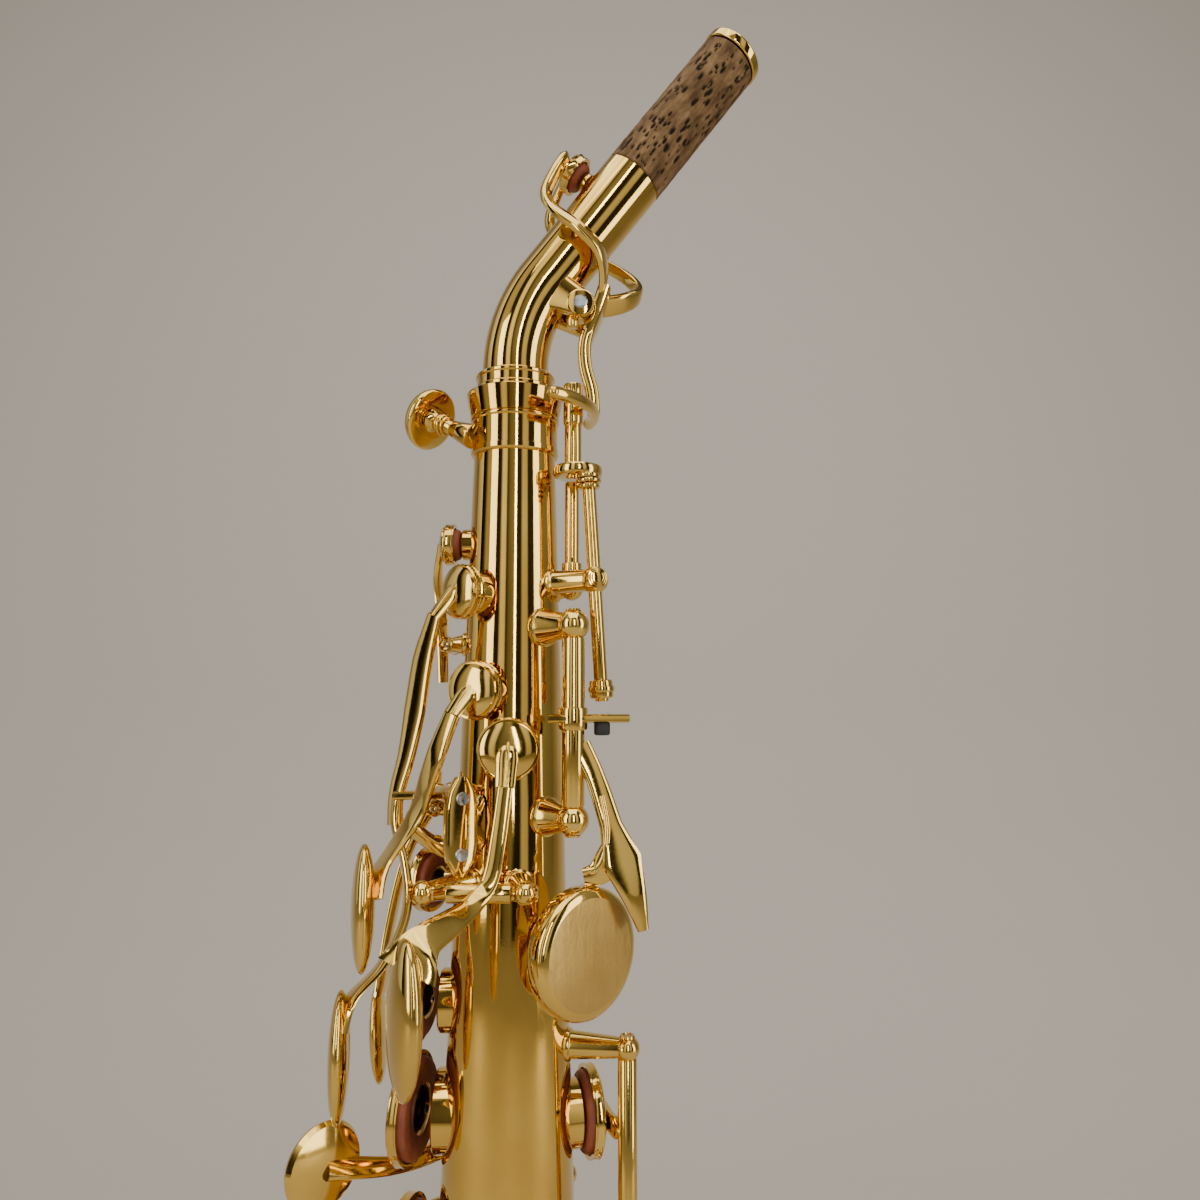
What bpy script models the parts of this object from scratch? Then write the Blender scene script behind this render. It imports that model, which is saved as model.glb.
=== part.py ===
"""Soprano saxophone with a curved neck: tubes, keys, pads, posts and the octave mechanism.

The body's axis is vertical and the bell's rim stands on z = 0. Angles round the body are in degrees
from the player's left side (-Y) towards the player (+X). Lengths are in millimetres until
finish_node() writes each node in metres.
"""

import math

import bmesh
import bpy
from mathutils import Matrix, Vector

MM = 0.001
AXIS_X = -4.2  # the body's axis, from the middle of the whole outline

# Body cone and bell
BODY_TOP_Z, BODY_TOP_R = 546.9, 8.8
CONE_SLOPE = 0.03025
WALL = 0.8
GAP = 0.3
BELL_TOP_Z = 114.5
BELL_RIM_R = 46.5
BELL_FLARE_Z = 95.0
BELL_FLARE_POWER = 4.0
RIM_FOOT = 2.4

# Neck
RECEIVER_Z = (547.2, 554.0, 560.4)
NECK_Z = 560.7
NECK_BEND_Z = 566.0
NECK_ANGLE = 37.8
CORK_START = Vector((25.8, 0.0, 610.8))
CORK_LENGTH = 36.2
TIP_RING_LENGTH = 2.3
NECK_R = (7.25, 6.95)
CORK_R = 6.95
BORE_R = (6.6, 4.65)

# Keywork
CHIMNEY = 1.6
PAD_THICK = 2.6
CUP_DOME = 1.7
CUP_LIP = 0.7
TUBE_R = 1.9
VENT_PAD_R = 3.4
DISH_R = 8.0
PLATE_THICK = 2.4
PAD_REST = 0.4  # degrees short of shut at which a pad meets its chimney
ROOF = 2 * GAP + PAD_THICK  # inner side of a cup's roof over its chimney
ARM_THICK = 1.7
UP = Vector((0.0, 0.0, 1.0))
ACROSS = Vector((0.0, 1.0, 0.0))
ROUND = 12
CHIMNEY_SIDES = 10


def cone_radius(z):
    """Outer radius of the body at height z."""
    return BODY_TOP_R + CONE_SLOPE * (BODY_TOP_Z - z)


def outer_radius(z):
    """Outer radius of the body or, below it, of the flaring bell."""
    flare = max(0.0, 1.0 - z / BELL_FLARE_Z) ** BELL_FLARE_POWER
    return cone_radius(z) + (BELL_RIM_R - cone_radius(0.0)) * flare


def around(phi, r, z):
    """The point at angle phi and distance r from the body's axis."""
    turn = math.radians(phi)
    return Vector((r * math.sin(turn), -r * math.cos(turn), z))


def frame_at(origin, out, up=UP):
    """A frame at origin: Z along out, Y as near to up as it can be."""
    out = out.normalized()
    side = up.cross(out).normalized()
    frame = Matrix((side, out.cross(side), out)).transposed().to_4x4()
    frame.translation = origin
    return frame


def seat(phi, r, z):
    """A frame on the body: X round it, Y up, Z outwards."""
    return frame_at(around(phi, r, z), around(phi, 1.0, 0.0))


# Pieces, in millimetres, before they are joined into a node


def piece_from(bm):
    mesh = bpy.data.meshes.new("piece")
    bmesh.ops.recalc_face_normals(bm, faces=bm.faces)
    bm.to_mesh(mesh)
    bm.free()
    piece = bpy.data.objects.new("piece", mesh)
    CUTTERS.objects.link(piece)
    return piece


def baked(source):
    """A plain mesh piece from an object with modifiers or from a curve."""
    bpy.context.view_layer.update()
    graph = bpy.context.evaluated_depsgraph_get()
    mesh = bpy.data.meshes.new_from_object(source.evaluated_get(graph))
    mesh.transform(source.matrix_world)
    bpy.data.objects.remove(source)
    bm = bmesh.new()
    bm.from_mesh(mesh)
    bpy.data.meshes.remove(mesh)
    bmesh.ops.remove_doubles(bm, verts=bm.verts, dist=0.001)
    return piece_from(bm)


def rod(start, end, r, r_end=None, sides=8):
    """A round bar, or a cone when the end radius differs."""
    along = end - start
    bm = bmesh.new()
    middle = Matrix.Translation((start + end) / 2)
    turn = along.to_track_quat("Z", "Y").to_matrix().to_4x4()
    bmesh.ops.create_cone(
        bm, cap_ends=True, segments=sides, radius1=r, radius2=r if r_end is None else r_end,
        depth=along.length, matrix=middle @ turn,
    )
    return piece_from(bm)


def ball(centre, r, sides=6, rings=4):
    bm = bmesh.new()
    place = Matrix.Translation(centre)
    bmesh.ops.create_uvsphere(bm, u_segments=sides, v_segments=rings, radius=r, matrix=place)
    return piece_from(bm)


def block(place, size):
    """A box with its middle at the frame's origin."""
    bm = bmesh.new()
    bmesh.ops.create_cube(bm, size=1.0, matrix=place @ Matrix.Diagonal((*size, 1.0)))
    return piece_from(bm)


def lens(place, width, height, thick, sides=10, rings=4):
    """An oval touch, thin at its edge and swelling to the middle."""
    bm = bmesh.new()
    shape = place @ Matrix.Diagonal((width / 2, height / 2, thick / 2, 1.0))
    bmesh.ops.create_uvsphere(bm, u_segments=sides, v_segments=rings, radius=1.0, matrix=shape)
    return piece_from(bm)


def turned(profile, place=Matrix.Identity(4), steps=ROUND):
    """A profile of (r, z), outer side downwards, turned round the frame's Z axis."""
    mesh = bpy.data.meshes.new("profile")
    points = [(r, 0.0, z) for r, z in profile]
    edges = [(i, i + 1) for i in range(len(points) - 1)]
    mesh.from_pydata(points, edges, [])
    source = bpy.data.objects.new("profile", mesh)
    CUTTERS.objects.link(source)
    source.matrix_world = place
    screw = source.modifiers.new("turn", "SCREW")
    screw.steps = screw.render_steps = steps
    screw.use_merge_vertices = True
    screw.merge_threshold = 0.0001
    return baked(source)


def smooth_path(points, per_span=2):
    """A Catmull-Rom path through the points."""
    ends = [2 * points[0] - points[1], *points, 2 * points[-1] - points[-2]]
    path = []
    for a, b, c, d in zip(ends, ends[1:], ends[2:], ends[3:]):
        for step in range(per_span):
            t = step / per_span
            swing = (c - a) * t + (2 * a - 5 * b + 4 * c - d) * t**2
            path.append(b + 0.5 * (swing + (3 * b - a - 3 * c + d) * t**3))
    return [*path, points[-1]]


def strap(points, widths, thick, face=None):
    """A flat arm lofted along a smooth path; its face looks away from the body's axis."""
    path = smooth_path(points)
    bm = bmesh.new()
    rings = []
    for i, point in enumerate(path):
        along = (path[min(i + 1, len(path) - 1)] - path[max(i - 1, 0)]).normalized()
        out = face or Vector((point.x, point.y, 0.0))
        side = along.cross(out).normalized()
        out = side.cross(along)
        share = i / (len(path) - 1) * (len(widths) - 1)
        low = min(int(share), len(widths) - 2)
        width = widths[low] + (widths[low + 1] - widths[low]) * (share - low)
        corners = [(-1, -1), (1, -1), (1, 1), (-1, 1)]
        ring = [point + side * (width / 2 * a) + out * (thick / 2 * b) for a, b in corners]
        rings.append([bm.verts.new(corner) for corner in ring])
    for first, second in zip(rings, rings[1:]):
        for i in range(4):
            bm.faces.new((first[i], first[i - 1], second[i - 1], second[i]))
    bm.faces.new(rings[0])
    bm.faces.new(rings[-1][::-1])
    return piece_from(bm)


def wire(points, r, radii=None, sides=8):
    """A round bar along points; radii are factors of r."""
    curve = bpy.data.curves.new("wire", "CURVE")
    curve.dimensions = "3D"
    curve.bevel_depth = r
    curve.bevel_resolution = sides // 2 - 2
    curve.use_fill_caps = True
    spline = curve.splines.new("POLY")
    spline.points.add(len(points) - 1)
    for i, point in enumerate(points):
        spline.points[i].co = (*point, 1.0)
        spline.points[i].radius = radii[i] if radii else 1.0
    source = bpy.data.objects.new("wire", curve)
    CUTTERS.objects.link(source)
    return baked(source)


def post(foot, head, r=2.5, foot_r=2.9):
    """A soldered post: a cone from the tube's wall to a ball on the hinge line."""
    return [rod(foot, head, foot_r, 1.4, sides=6), ball(head, r)]


def body_post(phi, r, z, ball_r=2.5):
    return post(around(phi, outer_radius(z) - 0.7, z), around(phi, r, z), ball_r)


# Joining pieces into nodes


def combine(base, others, operation, solver):
    for other in others:
        change = base.modifiers.new(operation.lower(), "BOOLEAN")
        change.operation = operation
        change.solver = solver
        change.object = other


def finish_node(name, pieces, colour, cuts=(), pivot=None, parent=None, swing=None, metal=1.0,
                solver="EXACT"):
    """Join the pieces, cut, and place the node with its origin on its pivot."""
    base, *others = pieces
    combine(base, others, "UNION", solver)
    combine(base, cuts, "DIFFERENCE", solver)
    bpy.context.view_layer.update()
    graph = bpy.context.evaluated_depsgraph_get()
    mesh = bpy.data.meshes.new_from_object(base.evaluated_get(graph))
    for used in [*pieces, *cuts]:
        bpy.data.objects.remove(used)
    pivot = pivot or Vector()
    mesh.transform((swing or Matrix.Identity(4)))
    mesh.transform(Matrix.Scale(MM, 4) @ Matrix.Translation(-pivot))
    mesh.name = name
    mesh.shade_smooth()
    mesh.set_sharp_from_angle(angle=math.radians(32))
    mesh.materials.clear()
    mesh.materials.append(node_material(name, colour, metal))
    node = bpy.data.objects.new(name, mesh)
    PARTS.objects.link(node)
    node.parent = parent or AXIS
    parent_pivot = Vector(parent["pivot"]) if parent else Vector()
    node.location = (pivot - parent_pivot) * MM
    node["pivot"] = tuple(pivot)
    return node


def node_material(name, colour, metal):
    material = bpy.data.materials.new(name)
    material.use_nodes = True
    shader = material.node_tree.nodes["Principled BSDF"]
    shader.inputs["Base Color"].default_value = (*colour, 1.0)
    shader.inputs["Metallic"].default_value = metal
    shader.inputs["Roughness"].default_value = 0.18 if metal else 0.6
    return material


def set_joint(node, axis, travel):
    """Note the hinge's axis and its travel in degrees on the node."""
    node["joint_axis"] = tuple(axis.normalized())
    node["joint_travel"] = travel


BRASS = (0.83, 0.58, 0.22)
LEATHER = (0.36, 0.13, 0.06)
CORK = (0.46, 0.31, 0.17)


# Tone holes: name, angle, height, pad radius

HOLES = {
    "octave": (-90, 527.5, 3.4),
    "palm_f": (-43, 516.2, 4.5),
    "high_f_sharp": (172, 506.0, 4.8),
    "palm_e_flat": (-25, 496.3, 4.8),
    "palm_d": (3, 484.8, 5.0),
    "high_e": (145, 474.0, 5.6),
    "c": (-104, 456.5, 5.6),
    "bis": (-90, 433.2, 7.4),
    "b": (-90, 411.8, 9.6),
    "side_c": (105, 409.8, 7.8),
    "a": (-90, 384.0, 9.4),
    "side_b_flat": (118, 378.0, 8.2),
    "g": (-90, 353.0, 10.0),
    "g_sharp": (25, 326.0, 9.0),
    "f_sharp": (-90, 303.0, 10.4),
    "f": (-90, 270.0, 11.0),
    "e": (-90, 236.0, 11.6),
    "d": (-90, 200.0, 12.2),
    "low_e_flat": (-165, 166.0, 11.6),
    "low_c": (-95, 157.0, 12.6),
    "low_c_sharp": (-38, 133.0, 11.8),
    "low_b": (58, 91.0, 12.6),
    "low_b_flat": (-28, 64.0, 13.0),
}
HOLE_SHARE = 0.74  # radius of the tone hole over that of its pad
BELL_HOLES = ("low_b", "low_b_flat")


def hole_seat(name):
    """The frame on the rim of a tone hole's chimney."""
    phi, z, _ = HOLES[name]
    return seat(phi, outer_radius(z) + CHIMNEY, z)


def chimney(name):
    """The chimney to join to the tube, and the cutter of its hole."""
    phi, z, pad_r = HOLES[name]
    hole_r = pad_r * HOLE_SHARE
    top = outer_radius(z) + CHIMNEY
    inner = around(phi, math.sqrt((outer_radius(z) - WALL) ** 2 - (hole_r + WALL) ** 2) * 0.8, z)
    wall = rod(inner, around(phi, top, z), hole_r + WALL, sides=CHIMNEY_SIDES)
    cut = rod(around(phi, 1.0, z), around(phi, top + 1.0, z), hole_r, sides=CHIMNEY_SIDES)
    return wall, cut


# Hinges along the body: angle, distance from the axis, lower post, upper post

HINGES = {
    "upper_stack_high": (-140, 19.3, 393.0, 466.0),
    "upper_stack_low": (-140, 19.3, 333.0, 393.0),
    "lower_stack_high": (-32, 25.0, 252.0, 317.0),
    "lower_stack_low": (-32, 25.0, 183.0, 252.0),
    "high_f_sharp": (200, 20.2, 328.0, 514.0),
    "high_e": (178, 19.5, 362.0, 484.0),
    "side_c": (80, 24.4, 334.0, 425.3),
    "side_b_flat": (150, 22.0, 306.0, 390.0),
    "g_sharp": (-12, 23.0, 304.0, 346.0),
    "low_c_sharp": (-5, 31.0, 122.0, 298.0),
    "low_b_flat": (10, 31.0, 54.0, 298.0),
    "low_b": (25, 31.0, 86.0, 298.0),
    "low_c": (-60, 30.0, 146.0, 186.0),
    "low_e_flat": (-136, 29.0, 150.0, 192.0),
}
SHARED_POSTS = (("upper_stack_low", 1), ("lower_stack_low", 1))


def hinge_posts(skip_bell):
    """Posts of every long hinge that stand on the body (or on the bell)."""
    posts = []
    for name, (phi, r, *ends) in HINGES.items():
        for i, z in enumerate(ends):
            if (name, i) in SHARED_POSTS or (z < BELL_TOP_Z) == skip_bell:
                continue
            posts += body_post(phi, r, z)
    return posts


# Static parts


def body_profile():
    low = BELL_TOP_Z + GAP
    return [(0.0, BODY_TOP_Z), (BODY_TOP_R, BODY_TOP_Z), (cone_radius(low), low), (0.0, low)]


def make_body():
    pieces = [turned(body_profile(), steps=24)]
    cuts = []
    for name in HOLES:
        if name in BELL_HOLES:
            continue
        wall, cut = chimney(name)
        pieces.append(wall)
        cuts.append(cut)
    pieces += hinge_posts(skip_bell=True)
    pieces += palm_posts() + octave_posts() + cross_posts()
    over = 2.0
    top, low = BODY_TOP_Z + over, BELL_TOP_Z - over
    bore = [(0.0, top), (cone_radius(top) - WALL, top), (cone_radius(low) - WALL, low), (0.0, low)]
    cuts.insert(0, turned(bore, steps=24))
    cuts.append(rod(SWING_LOW, SWING_TOP, SWING_R + GAP))
    # EXACT leaves open edges on a tube with this many posts and chimneys.
    return finish_node("body_tube", pieces, BRASS, cuts, solver="MANIFOLD")


def bell_levels():
    return [BELL_TOP_Z, 60.0, 42.0, 28.0, 17.0, 8.0, RIM_FOOT]


def make_bell():
    outer = [(0.0, BELL_TOP_Z)] + [(outer_radius(z), z) for z in bell_levels()]
    outer += [(BELL_RIM_R, RIM_FOOT), (BELL_RIM_R, 0.0), (0.0, 0.0)]
    over = 2.0
    inner = [(0.0, BELL_TOP_Z + over), (cone_radius(BELL_TOP_Z) - WALL, BELL_TOP_Z + over)]
    inner += [(outer_radius(z) - WALL, z) for z in bell_levels()]
    inner += [(BELL_RIM_R - RIM_FOOT, 0.0), (BELL_RIM_R - RIM_FOOT, -over), (0.0, -over)]
    pieces = [turned(outer, steps=28)]
    cuts = [turned(inner, steps=28)]
    for name in BELL_HOLES:
        wall, cut = chimney(name)
        pieces.append(wall)
        cuts.append(cut)
    pieces += hinge_posts(skip_bell=False)
    return finish_node("bell", pieces, BRASS, cuts, solver="MANIFOLD")


def ring_profile(inner, outer, low, high):
    return [(inner, high), (outer, high), (outer, low), (inner, low), (inner, high)]


def make_joint_ring():
    low, high = BELL_TOP_Z - 2.0, BELL_TOP_Z + 2.6
    inner = cone_radius(low) + GAP
    ring = turned(ring_profile(inner, inner + 1.1, low, high), steps=28)
    return finish_node("bell_joint_ring", [ring], BRASS)


SCREW_LUG = Vector((-10.9, -5.0, 551.0))
SCREW_DIRECTION = Vector((-0.78, 0.45, 0.43)).normalized()
LUG_BACK, LUG_FRONT = 3.4, 2.2


def make_receiver():
    """The socket's collar and clamp ring, with the conical lug that its screw goes into."""
    low, mid, high = RECEIVER_Z
    bore = NECK_R[0] + 0.7
    ring_r, socket_r = 10.5, 9.3
    profile = [(bore, high), (ring_r, high), (ring_r, high - 1.6), (socket_r, mid), (socket_r, low)]
    profile += [(bore, low), (bore, high)]
    lug_start = SCREW_LUG - SCREW_DIRECTION * LUG_BACK
    lug = rod(lug_start, SCREW_LUG + SCREW_DIRECTION * LUG_FRONT, 2.6, 1.9, sides=10)
    return finish_node("neck_receiver", [turned(profile, steps=24), lug], BRASS)


def make_neck_screw():
    start = SCREW_LUG + SCREW_DIRECTION * (LUG_FRONT + GAP)
    head = start + SCREW_DIRECTION * 6.0
    shaft = rod(start, head + SCREW_DIRECTION, 1.5, sides=10)
    bead = rod(start + SCREW_DIRECTION * 2.0, start + SCREW_DIRECTION * 3.6, 2.3, sides=10)
    cap = [(0.0, 4.6), (3.6, 4.1), (5.9, 2.8), (6.7, 1.2), (6.2, 0.0), (0.0, 0.0)]
    head_cap = turned(cap, frame_at(head, SCREW_DIRECTION, Vector((0, 1, 0))))
    node = finish_node("neck_screw", [head_cap, shaft, bead], BRASS, pivot=start)
    set_joint(node, SCREW_DIRECTION, 90)


# Neck


def neck_path():
    """Centre line of the neck from its flange to the cork: straight, bend, straight."""
    turn = math.radians(NECK_ANGLE)
    bend = neck_bend_radius()
    count = 6
    arc = [turn * i / count for i in range(count + 1)]
    points = [Vector((bend * (1 - math.cos(a)), 0.0, NECK_BEND_Z + bend * math.sin(a))) for a in arc]
    return [Vector((0.0, 0.0, NECK_Z - 11.0)), Vector((0.0, 0.0, NECK_Z)), *points, CORK_START]


def neck_bend_radius():
    """The bend that leads from the vertical at NECK_BEND_Z into the cork's straight line."""
    turn = math.radians(NECK_ANGLE)
    rise = CORK_START.z - NECK_BEND_Z - CORK_START.x / math.tan(turn)
    return rise / (math.sin(turn) - (1 - math.cos(turn)) / math.tan(turn))


def neck_direction():
    turn = math.radians(NECK_ANGLE)
    return Vector((math.sin(turn), 0.0, math.cos(turn)))


NECK_HINGE = Vector((14.4, 0.0, 579.4))


def make_neck():
    path = neck_path()
    along = neck_direction()
    tip = CORK_START + along * (CORK_LENGTH + TIP_RING_LENGTH + GAP)
    steps = len(path) - 1
    radii = [NECK_R[0] + (NECK_R[1] - NECK_R[0]) * i / steps for i in range(len(path))]
    outer = wire(path, 1.0, radii, sides=14)
    spigot = rod(CORK_START - along * 3.0, tip, 6.1, 5.4, sides=16)
    flange = [(0.0, 564.1), (8.1, 564.1), (8.7, 563.3), (8.7, NECK_Z), (0.0, NECK_Z)]
    bore_path = [path[0] - Vector((0, 0, 3.0)), *path[1:], tip + along * 3.0]
    count = len(bore_path) - 1
    bore_radii = [BORE_R[0] + (BORE_R[1] - BORE_R[0]) * i / count for i in range(count + 1)]
    bore = wire(bore_path, 1.0, bore_radii, sides=12)
    pip_seat = neck_seat()
    pip = rod(pip_seat @ Vector((0, 0, -3.0)), pip_seat.translation, 2.2)
    pip_hole = rod(pip_seat @ Vector((0, 0, -6.0)), pip_seat @ Vector((0, 0, 1.0)), 0.9)
    pieces = [outer, spigot, turned(flange, steps=20), pip, *neck_saddle()]
    return finish_node("neck_tube", pieces, BRASS, [bore, pip_hole])


def neck_seat():
    """The frame on top of the neck's octave vent, on the outer side of the bend."""
    along = neck_direction()
    out = Vector((-along.z, 0.0, along.x))
    return frame_at(CORK_START - along * 7.0 + out * (NECK_R[1] + 1.5), out, Vector((0, 1, 0)))


def neck_saddle():
    """Two lugs that hold the neck key's hinge, each on a foot soldered to the inner side of the bend."""
    pieces = []
    for side in (-1, 1):
        eye = NECK_HINGE + Vector((0.0, side * 5.2, 0.0))
        pieces.append(rod(eye - Vector((0, 1.3, 0)), eye + Vector((0, 1.3, 0)), 3.0, sides=12))
        foot = Vector((7.4, side * 4.2, 583.6))
        pieces.append(strap([foot, (foot + eye) / 2, eye], [7.0, 5.0], 2.2, face=Vector((0, 1, 0))))
    return pieces


def make_cork():
    along = neck_direction()
    place = frame_at(CORK_START + along * GAP, along, Vector((0, 1, 0)))
    high = CORK_LENGTH - 2 * GAP
    profile = [(6.4, high), (CORK_R - 0.2, high), (CORK_R, 0.0), (6.4, 0.0), (6.4, high)]
    return finish_node("neck_cork", [turned(profile, place, steps=20)], CORK, metal=0.0)


def make_tip_ring():
    along = neck_direction()
    place = frame_at(CORK_START + along * CORK_LENGTH, along, Vector((0, 1, 0)))
    profile = ring_profile(5.8, 7.0, 0.0, TIP_RING_LENGTH)
    return finish_node("neck_tip_ring", [turned(profile, place, steps=20)], BRASS)


# Octave mechanism

SWING_TOP = Vector((16.1, -7.9, 541.5))
SWING_LOW = Vector((19.0, -8.1, 494.0))
SWING_R = 1.4
SWING_POST_Z = 518.9
SWING_PIN = Vector((12.8, -3.0, 544.0))
LEVER_AXIS = (13.3, -13.0)
LEVER_Z = (471.1, 509.2)
LINK_AXIS = (12.6, -2.4)
LINK_Z = (520.8, 540.2)
RING_Z = 556.4
RING_R = (16.1, 18.5)


def swing_at(z):
    """The swing rod's centre line at height z."""
    share = (z - SWING_LOW.z) / (SWING_TOP.z - SWING_LOW.z)
    return SWING_LOW.lerp(SWING_TOP, share)


def foot_under(head):
    """The point just inside the tube's wall on the line from the axis to a post's head."""
    flat = Vector((head.x, head.y, 0.0)).normalized() * (cone_radius(head.z) - 0.7)
    return Vector((flat.x, flat.y, head.z))


def octave_posts():
    """Ball posts of the thumb lever, the swing rod and the link rod."""
    posts = []
    for z in LEVER_Z:
        head = Vector((*LEVER_AXIS, z))
        posts += [rod(foot_under(head), head, 3.8, 1.8, sides=10), ball(head, 3.0, 10, 6)]
    head = swing_at(SWING_POST_Z)
    posts += [rod(foot_under(head), head, 2.4, 1.7), ball(head, 3.0, 10, 6)]
    head = Vector((*LINK_AXIS, LINK_Z[0] - 3.2))
    return posts + [rod(foot_under(head), head, 2.0, 1.6), ball(head, 2.4)]


def make_swing_rod():
    low, high = SWING_LOW, SWING_TOP
    pin_low = Vector((SWING_PIN.x, SWING_PIN.y, 543.0))
    pieces = [
        rod(low, high, SWING_R),
        rod(swing_at(494.6), swing_at(498.4), 2.4, sides=10),
        rod(swing_at(538.0), swing_at(541.2), 2.6, sides=10),
        rod(Vector((13.9, -5.4, 541.0)), Vector((13.9, -5.4, 543.4)), 5.2, sides=16),
        rod(pin_low, Vector((SWING_PIN.x, SWING_PIN.y, 553.4)), 1.8, sides=10),
        rod(Vector((*pin_low.xy, 553.0)), Vector((*pin_low.xy, 562.2)), 2.1, sides=10),
    ]
    node = finish_node("octave_swing_rod", pieces, BRASS, pivot=low)
    set_joint(node, low - high, 15)


def make_link_rod():
    low, high = (Vector((*LINK_AXIS, z)) for z in LINK_Z)
    pieces = [rod(low, high, 1.5), rod(low, low + Vector((0, 0, 2.4)), 2.1)]
    node = finish_node("octave_link_rod", pieces, BRASS, pivot=low)
    set_joint(node, Vector((0, 0, -1)), 8)


def make_thumb_lever():
    low, high = (Vector((*LEVER_AXIS, z)) for z in LEVER_Z)
    clear = Vector((0, 0, 3.35))
    tube = rod(low + clear, high - clear, 2.4, sides=12)
    collar = rod(Vector((*LEVER_AXIS, 487.4)), Vector((*LEVER_AXIS, 494.0)), 3.0, sides=12)
    arm = strap([Vector((8.4, -13.4, 490.7)), Vector((14.0, -13.0, 490.7)), Vector((24.0, -10.6, 490.7))],
                [4.0, 5.0, 4.2], ARM_THICK, face=UP)
    bumper = rod(Vector((19.0, -11.8, 487.4)), Vector((19.0, -11.8, 490.2)), 1.7)
    path = [Vector((14.6, -13.2, 485.5)), Vector((17.8, -14.0, 479.0)), Vector((20.7, -14.8, 470.4)),
            Vector((22.8, -15.4, 463.8)), Vector((25.1, -15.4, 457.3)), Vector((26.8, -14.6, 450.8))]
    towards_left = Vector((0.3, -1.0, 0.0))
    wing = strap(path, [4.5, 4.0, 4.5, 8.0, 5.0, 2.2], ARM_THICK, face=towards_left)
    hook = strap([Vector((21.0, -15.0, 464.5)), Vector((18.0, -15.3, 461.8)), Vector((15.2, -15.6, 461.2))],
                 [7.0, 4.5, 3.5], ARM_THICK, face=towards_left)
    node = finish_node("octave_thumb_lever", [tube, collar, arm, bumper, wing, hook], BRASS, pivot=low)
    set_joint(node, Vector((0, 0, 1)), 8)


def ring_arc(first, last, count=7):
    """A stretch of the ring that the octave pin pushes, round the neck's socket."""
    middle = (RING_R[0] + RING_R[1]) / 2
    turns = [first + (last - first) * i / count for i in range(count + 1)]
    return [around(phi, middle, RING_Z) for phi in turns]


def make_neck_key():
    cup_place = neck_seat()
    roof = ROOF + CUP_DOME
    top = cup_place @ Vector((0, 0, roof + 0.2))
    near = [top, cup_place @ Vector((0.0, -3.6, roof + 0.4)), Vector((6.9, -6.2, 604.6)),
            Vector((8.6, -9.2, 599.0)), Vector((14.0, -9.6, 594.4)), Vector((18.4, -7.4, 590.4)),
            Vector((19.4, -3.6, 586.2)), Vector((18.2, 0.0, 581.6))]
    far = [top, cup_place @ Vector((0.0, 3.6, roof + 0.4)), Vector((6.9, 6.6, 604.8)),
           Vector((10.6, 9.8, 600.0)), Vector((18.0, 10.0, 596.6)), Vector((25.2, 8.6, 591.4)),
           Vector((27.4, 5.6, 586.4)), Vector((24.0, 2.4, 583.0)), Vector((18.2, 0.4, 581.8))]
    tail = [Vector((19.2, 0.0, 584.0)), Vector((17.4, 0.0, 578.6)), Vector((15.4, -0.6, 572.6)),
            Vector((15.6, -1.0, 566.8)), Vector((17.0, -0.8, 561.2)), Vector((17.4, -0.6, 556.4))]
    hub = rod(NECK_HINGE - Vector((0, 3.5, 0)), NECK_HINGE + Vector((0, 3.5, 0)), 2.0)
    web = rod(NECK_HINGE, Vector((18.4, 0.0, 580.8)), 1.7)
    pieces = [
        cup(cup_place, VENT_PAD_R),
        strap(near, [3.0, 2.6, 2.8, 3.4, 3.6, 4.4, 5.6], 1.5),
        strap(far, [3.0, 2.4, 2.4, 2.6, 3.0, 4.0], 1.5),
        strap(tail, [7.4, 6.4, 3.8, 3.4, 3.6, 3.8], 2.0),
        strap(ring_arc(32, 112), [2.8, 2.8], RING_R[1] - RING_R[0]),
        hub, web,
    ]
    node = finish_node("neck_octave_key", pieces, BRASS, pivot=NECK_HINGE)
    set_joint(node, Vector((0, -1, 0)), 3.6)
    make_pad("neck_octave_pad", cup_place, VENT_PAD_R, node)


# Cups, pads and hinged keys


def cup(place, pad_r):
    """A domed cup with a lip; the frame's origin is on the rim of the tone hole."""
    inner = pad_r + GAP
    outer = inner + CUP_LIP
    lip = ROOF - 1.6
    profile = [(0.0, ROOF + CUP_DOME), (outer * 0.62, ROOF + CUP_DOME * 0.85), (outer, ROOF + 0.3),
               (outer, lip), (inner, lip), (inner, ROOF), (0.0, ROOF)]
    return turned(profile, place)


def make_pad(name, place, pad_r, key, swing=None):
    """A leather pad in its cup, moving with the key."""
    profile = [(0.0, GAP + PAD_THICK), (pad_r, GAP + PAD_THICK), (pad_r, GAP + 0.7), (pad_r - 0.7, GAP),
               (0.0, GAP)]
    pivot = Vector(key["pivot"])
    pad = turned(profile, place)
    return finish_node(name, [pad], LEATHER, pivot=pivot, parent=key, swing=swing, metal=0.0)


def lift_angle(pivot, name, lift):
    """Signed turn about +Z at the pivot that lifts a pad by the given distance."""
    place = hole_seat(name)
    lever = place.translation - pivot
    out = place.col[2].xyz
    return math.degrees(lift / (lever.x * out.y - lever.y * out.x))


def key_arm(phi, r, z, hole):
    """An arm from the hinge tube to the top of a cup."""
    cup_phi, _, pad_r = HOLES[hole]
    place = hole_seat(hole)
    roof = ROOF + CUP_DOME
    toward = -1 if phi < cup_phi else 1
    rim = place @ Vector((toward * (pad_r + 0.5), 0.0, roof + 0.7))
    start = around(phi, r, z)
    middle = (start + rim) / 2 + around((phi + cup_phi) / 2, 1.6, 0.0)
    top = place @ Vector((0.0, 0.0, roof))
    return strap([start, middle, rim, top], [4.6, 3.6, 3.0, 2.6], ARM_THICK)


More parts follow.
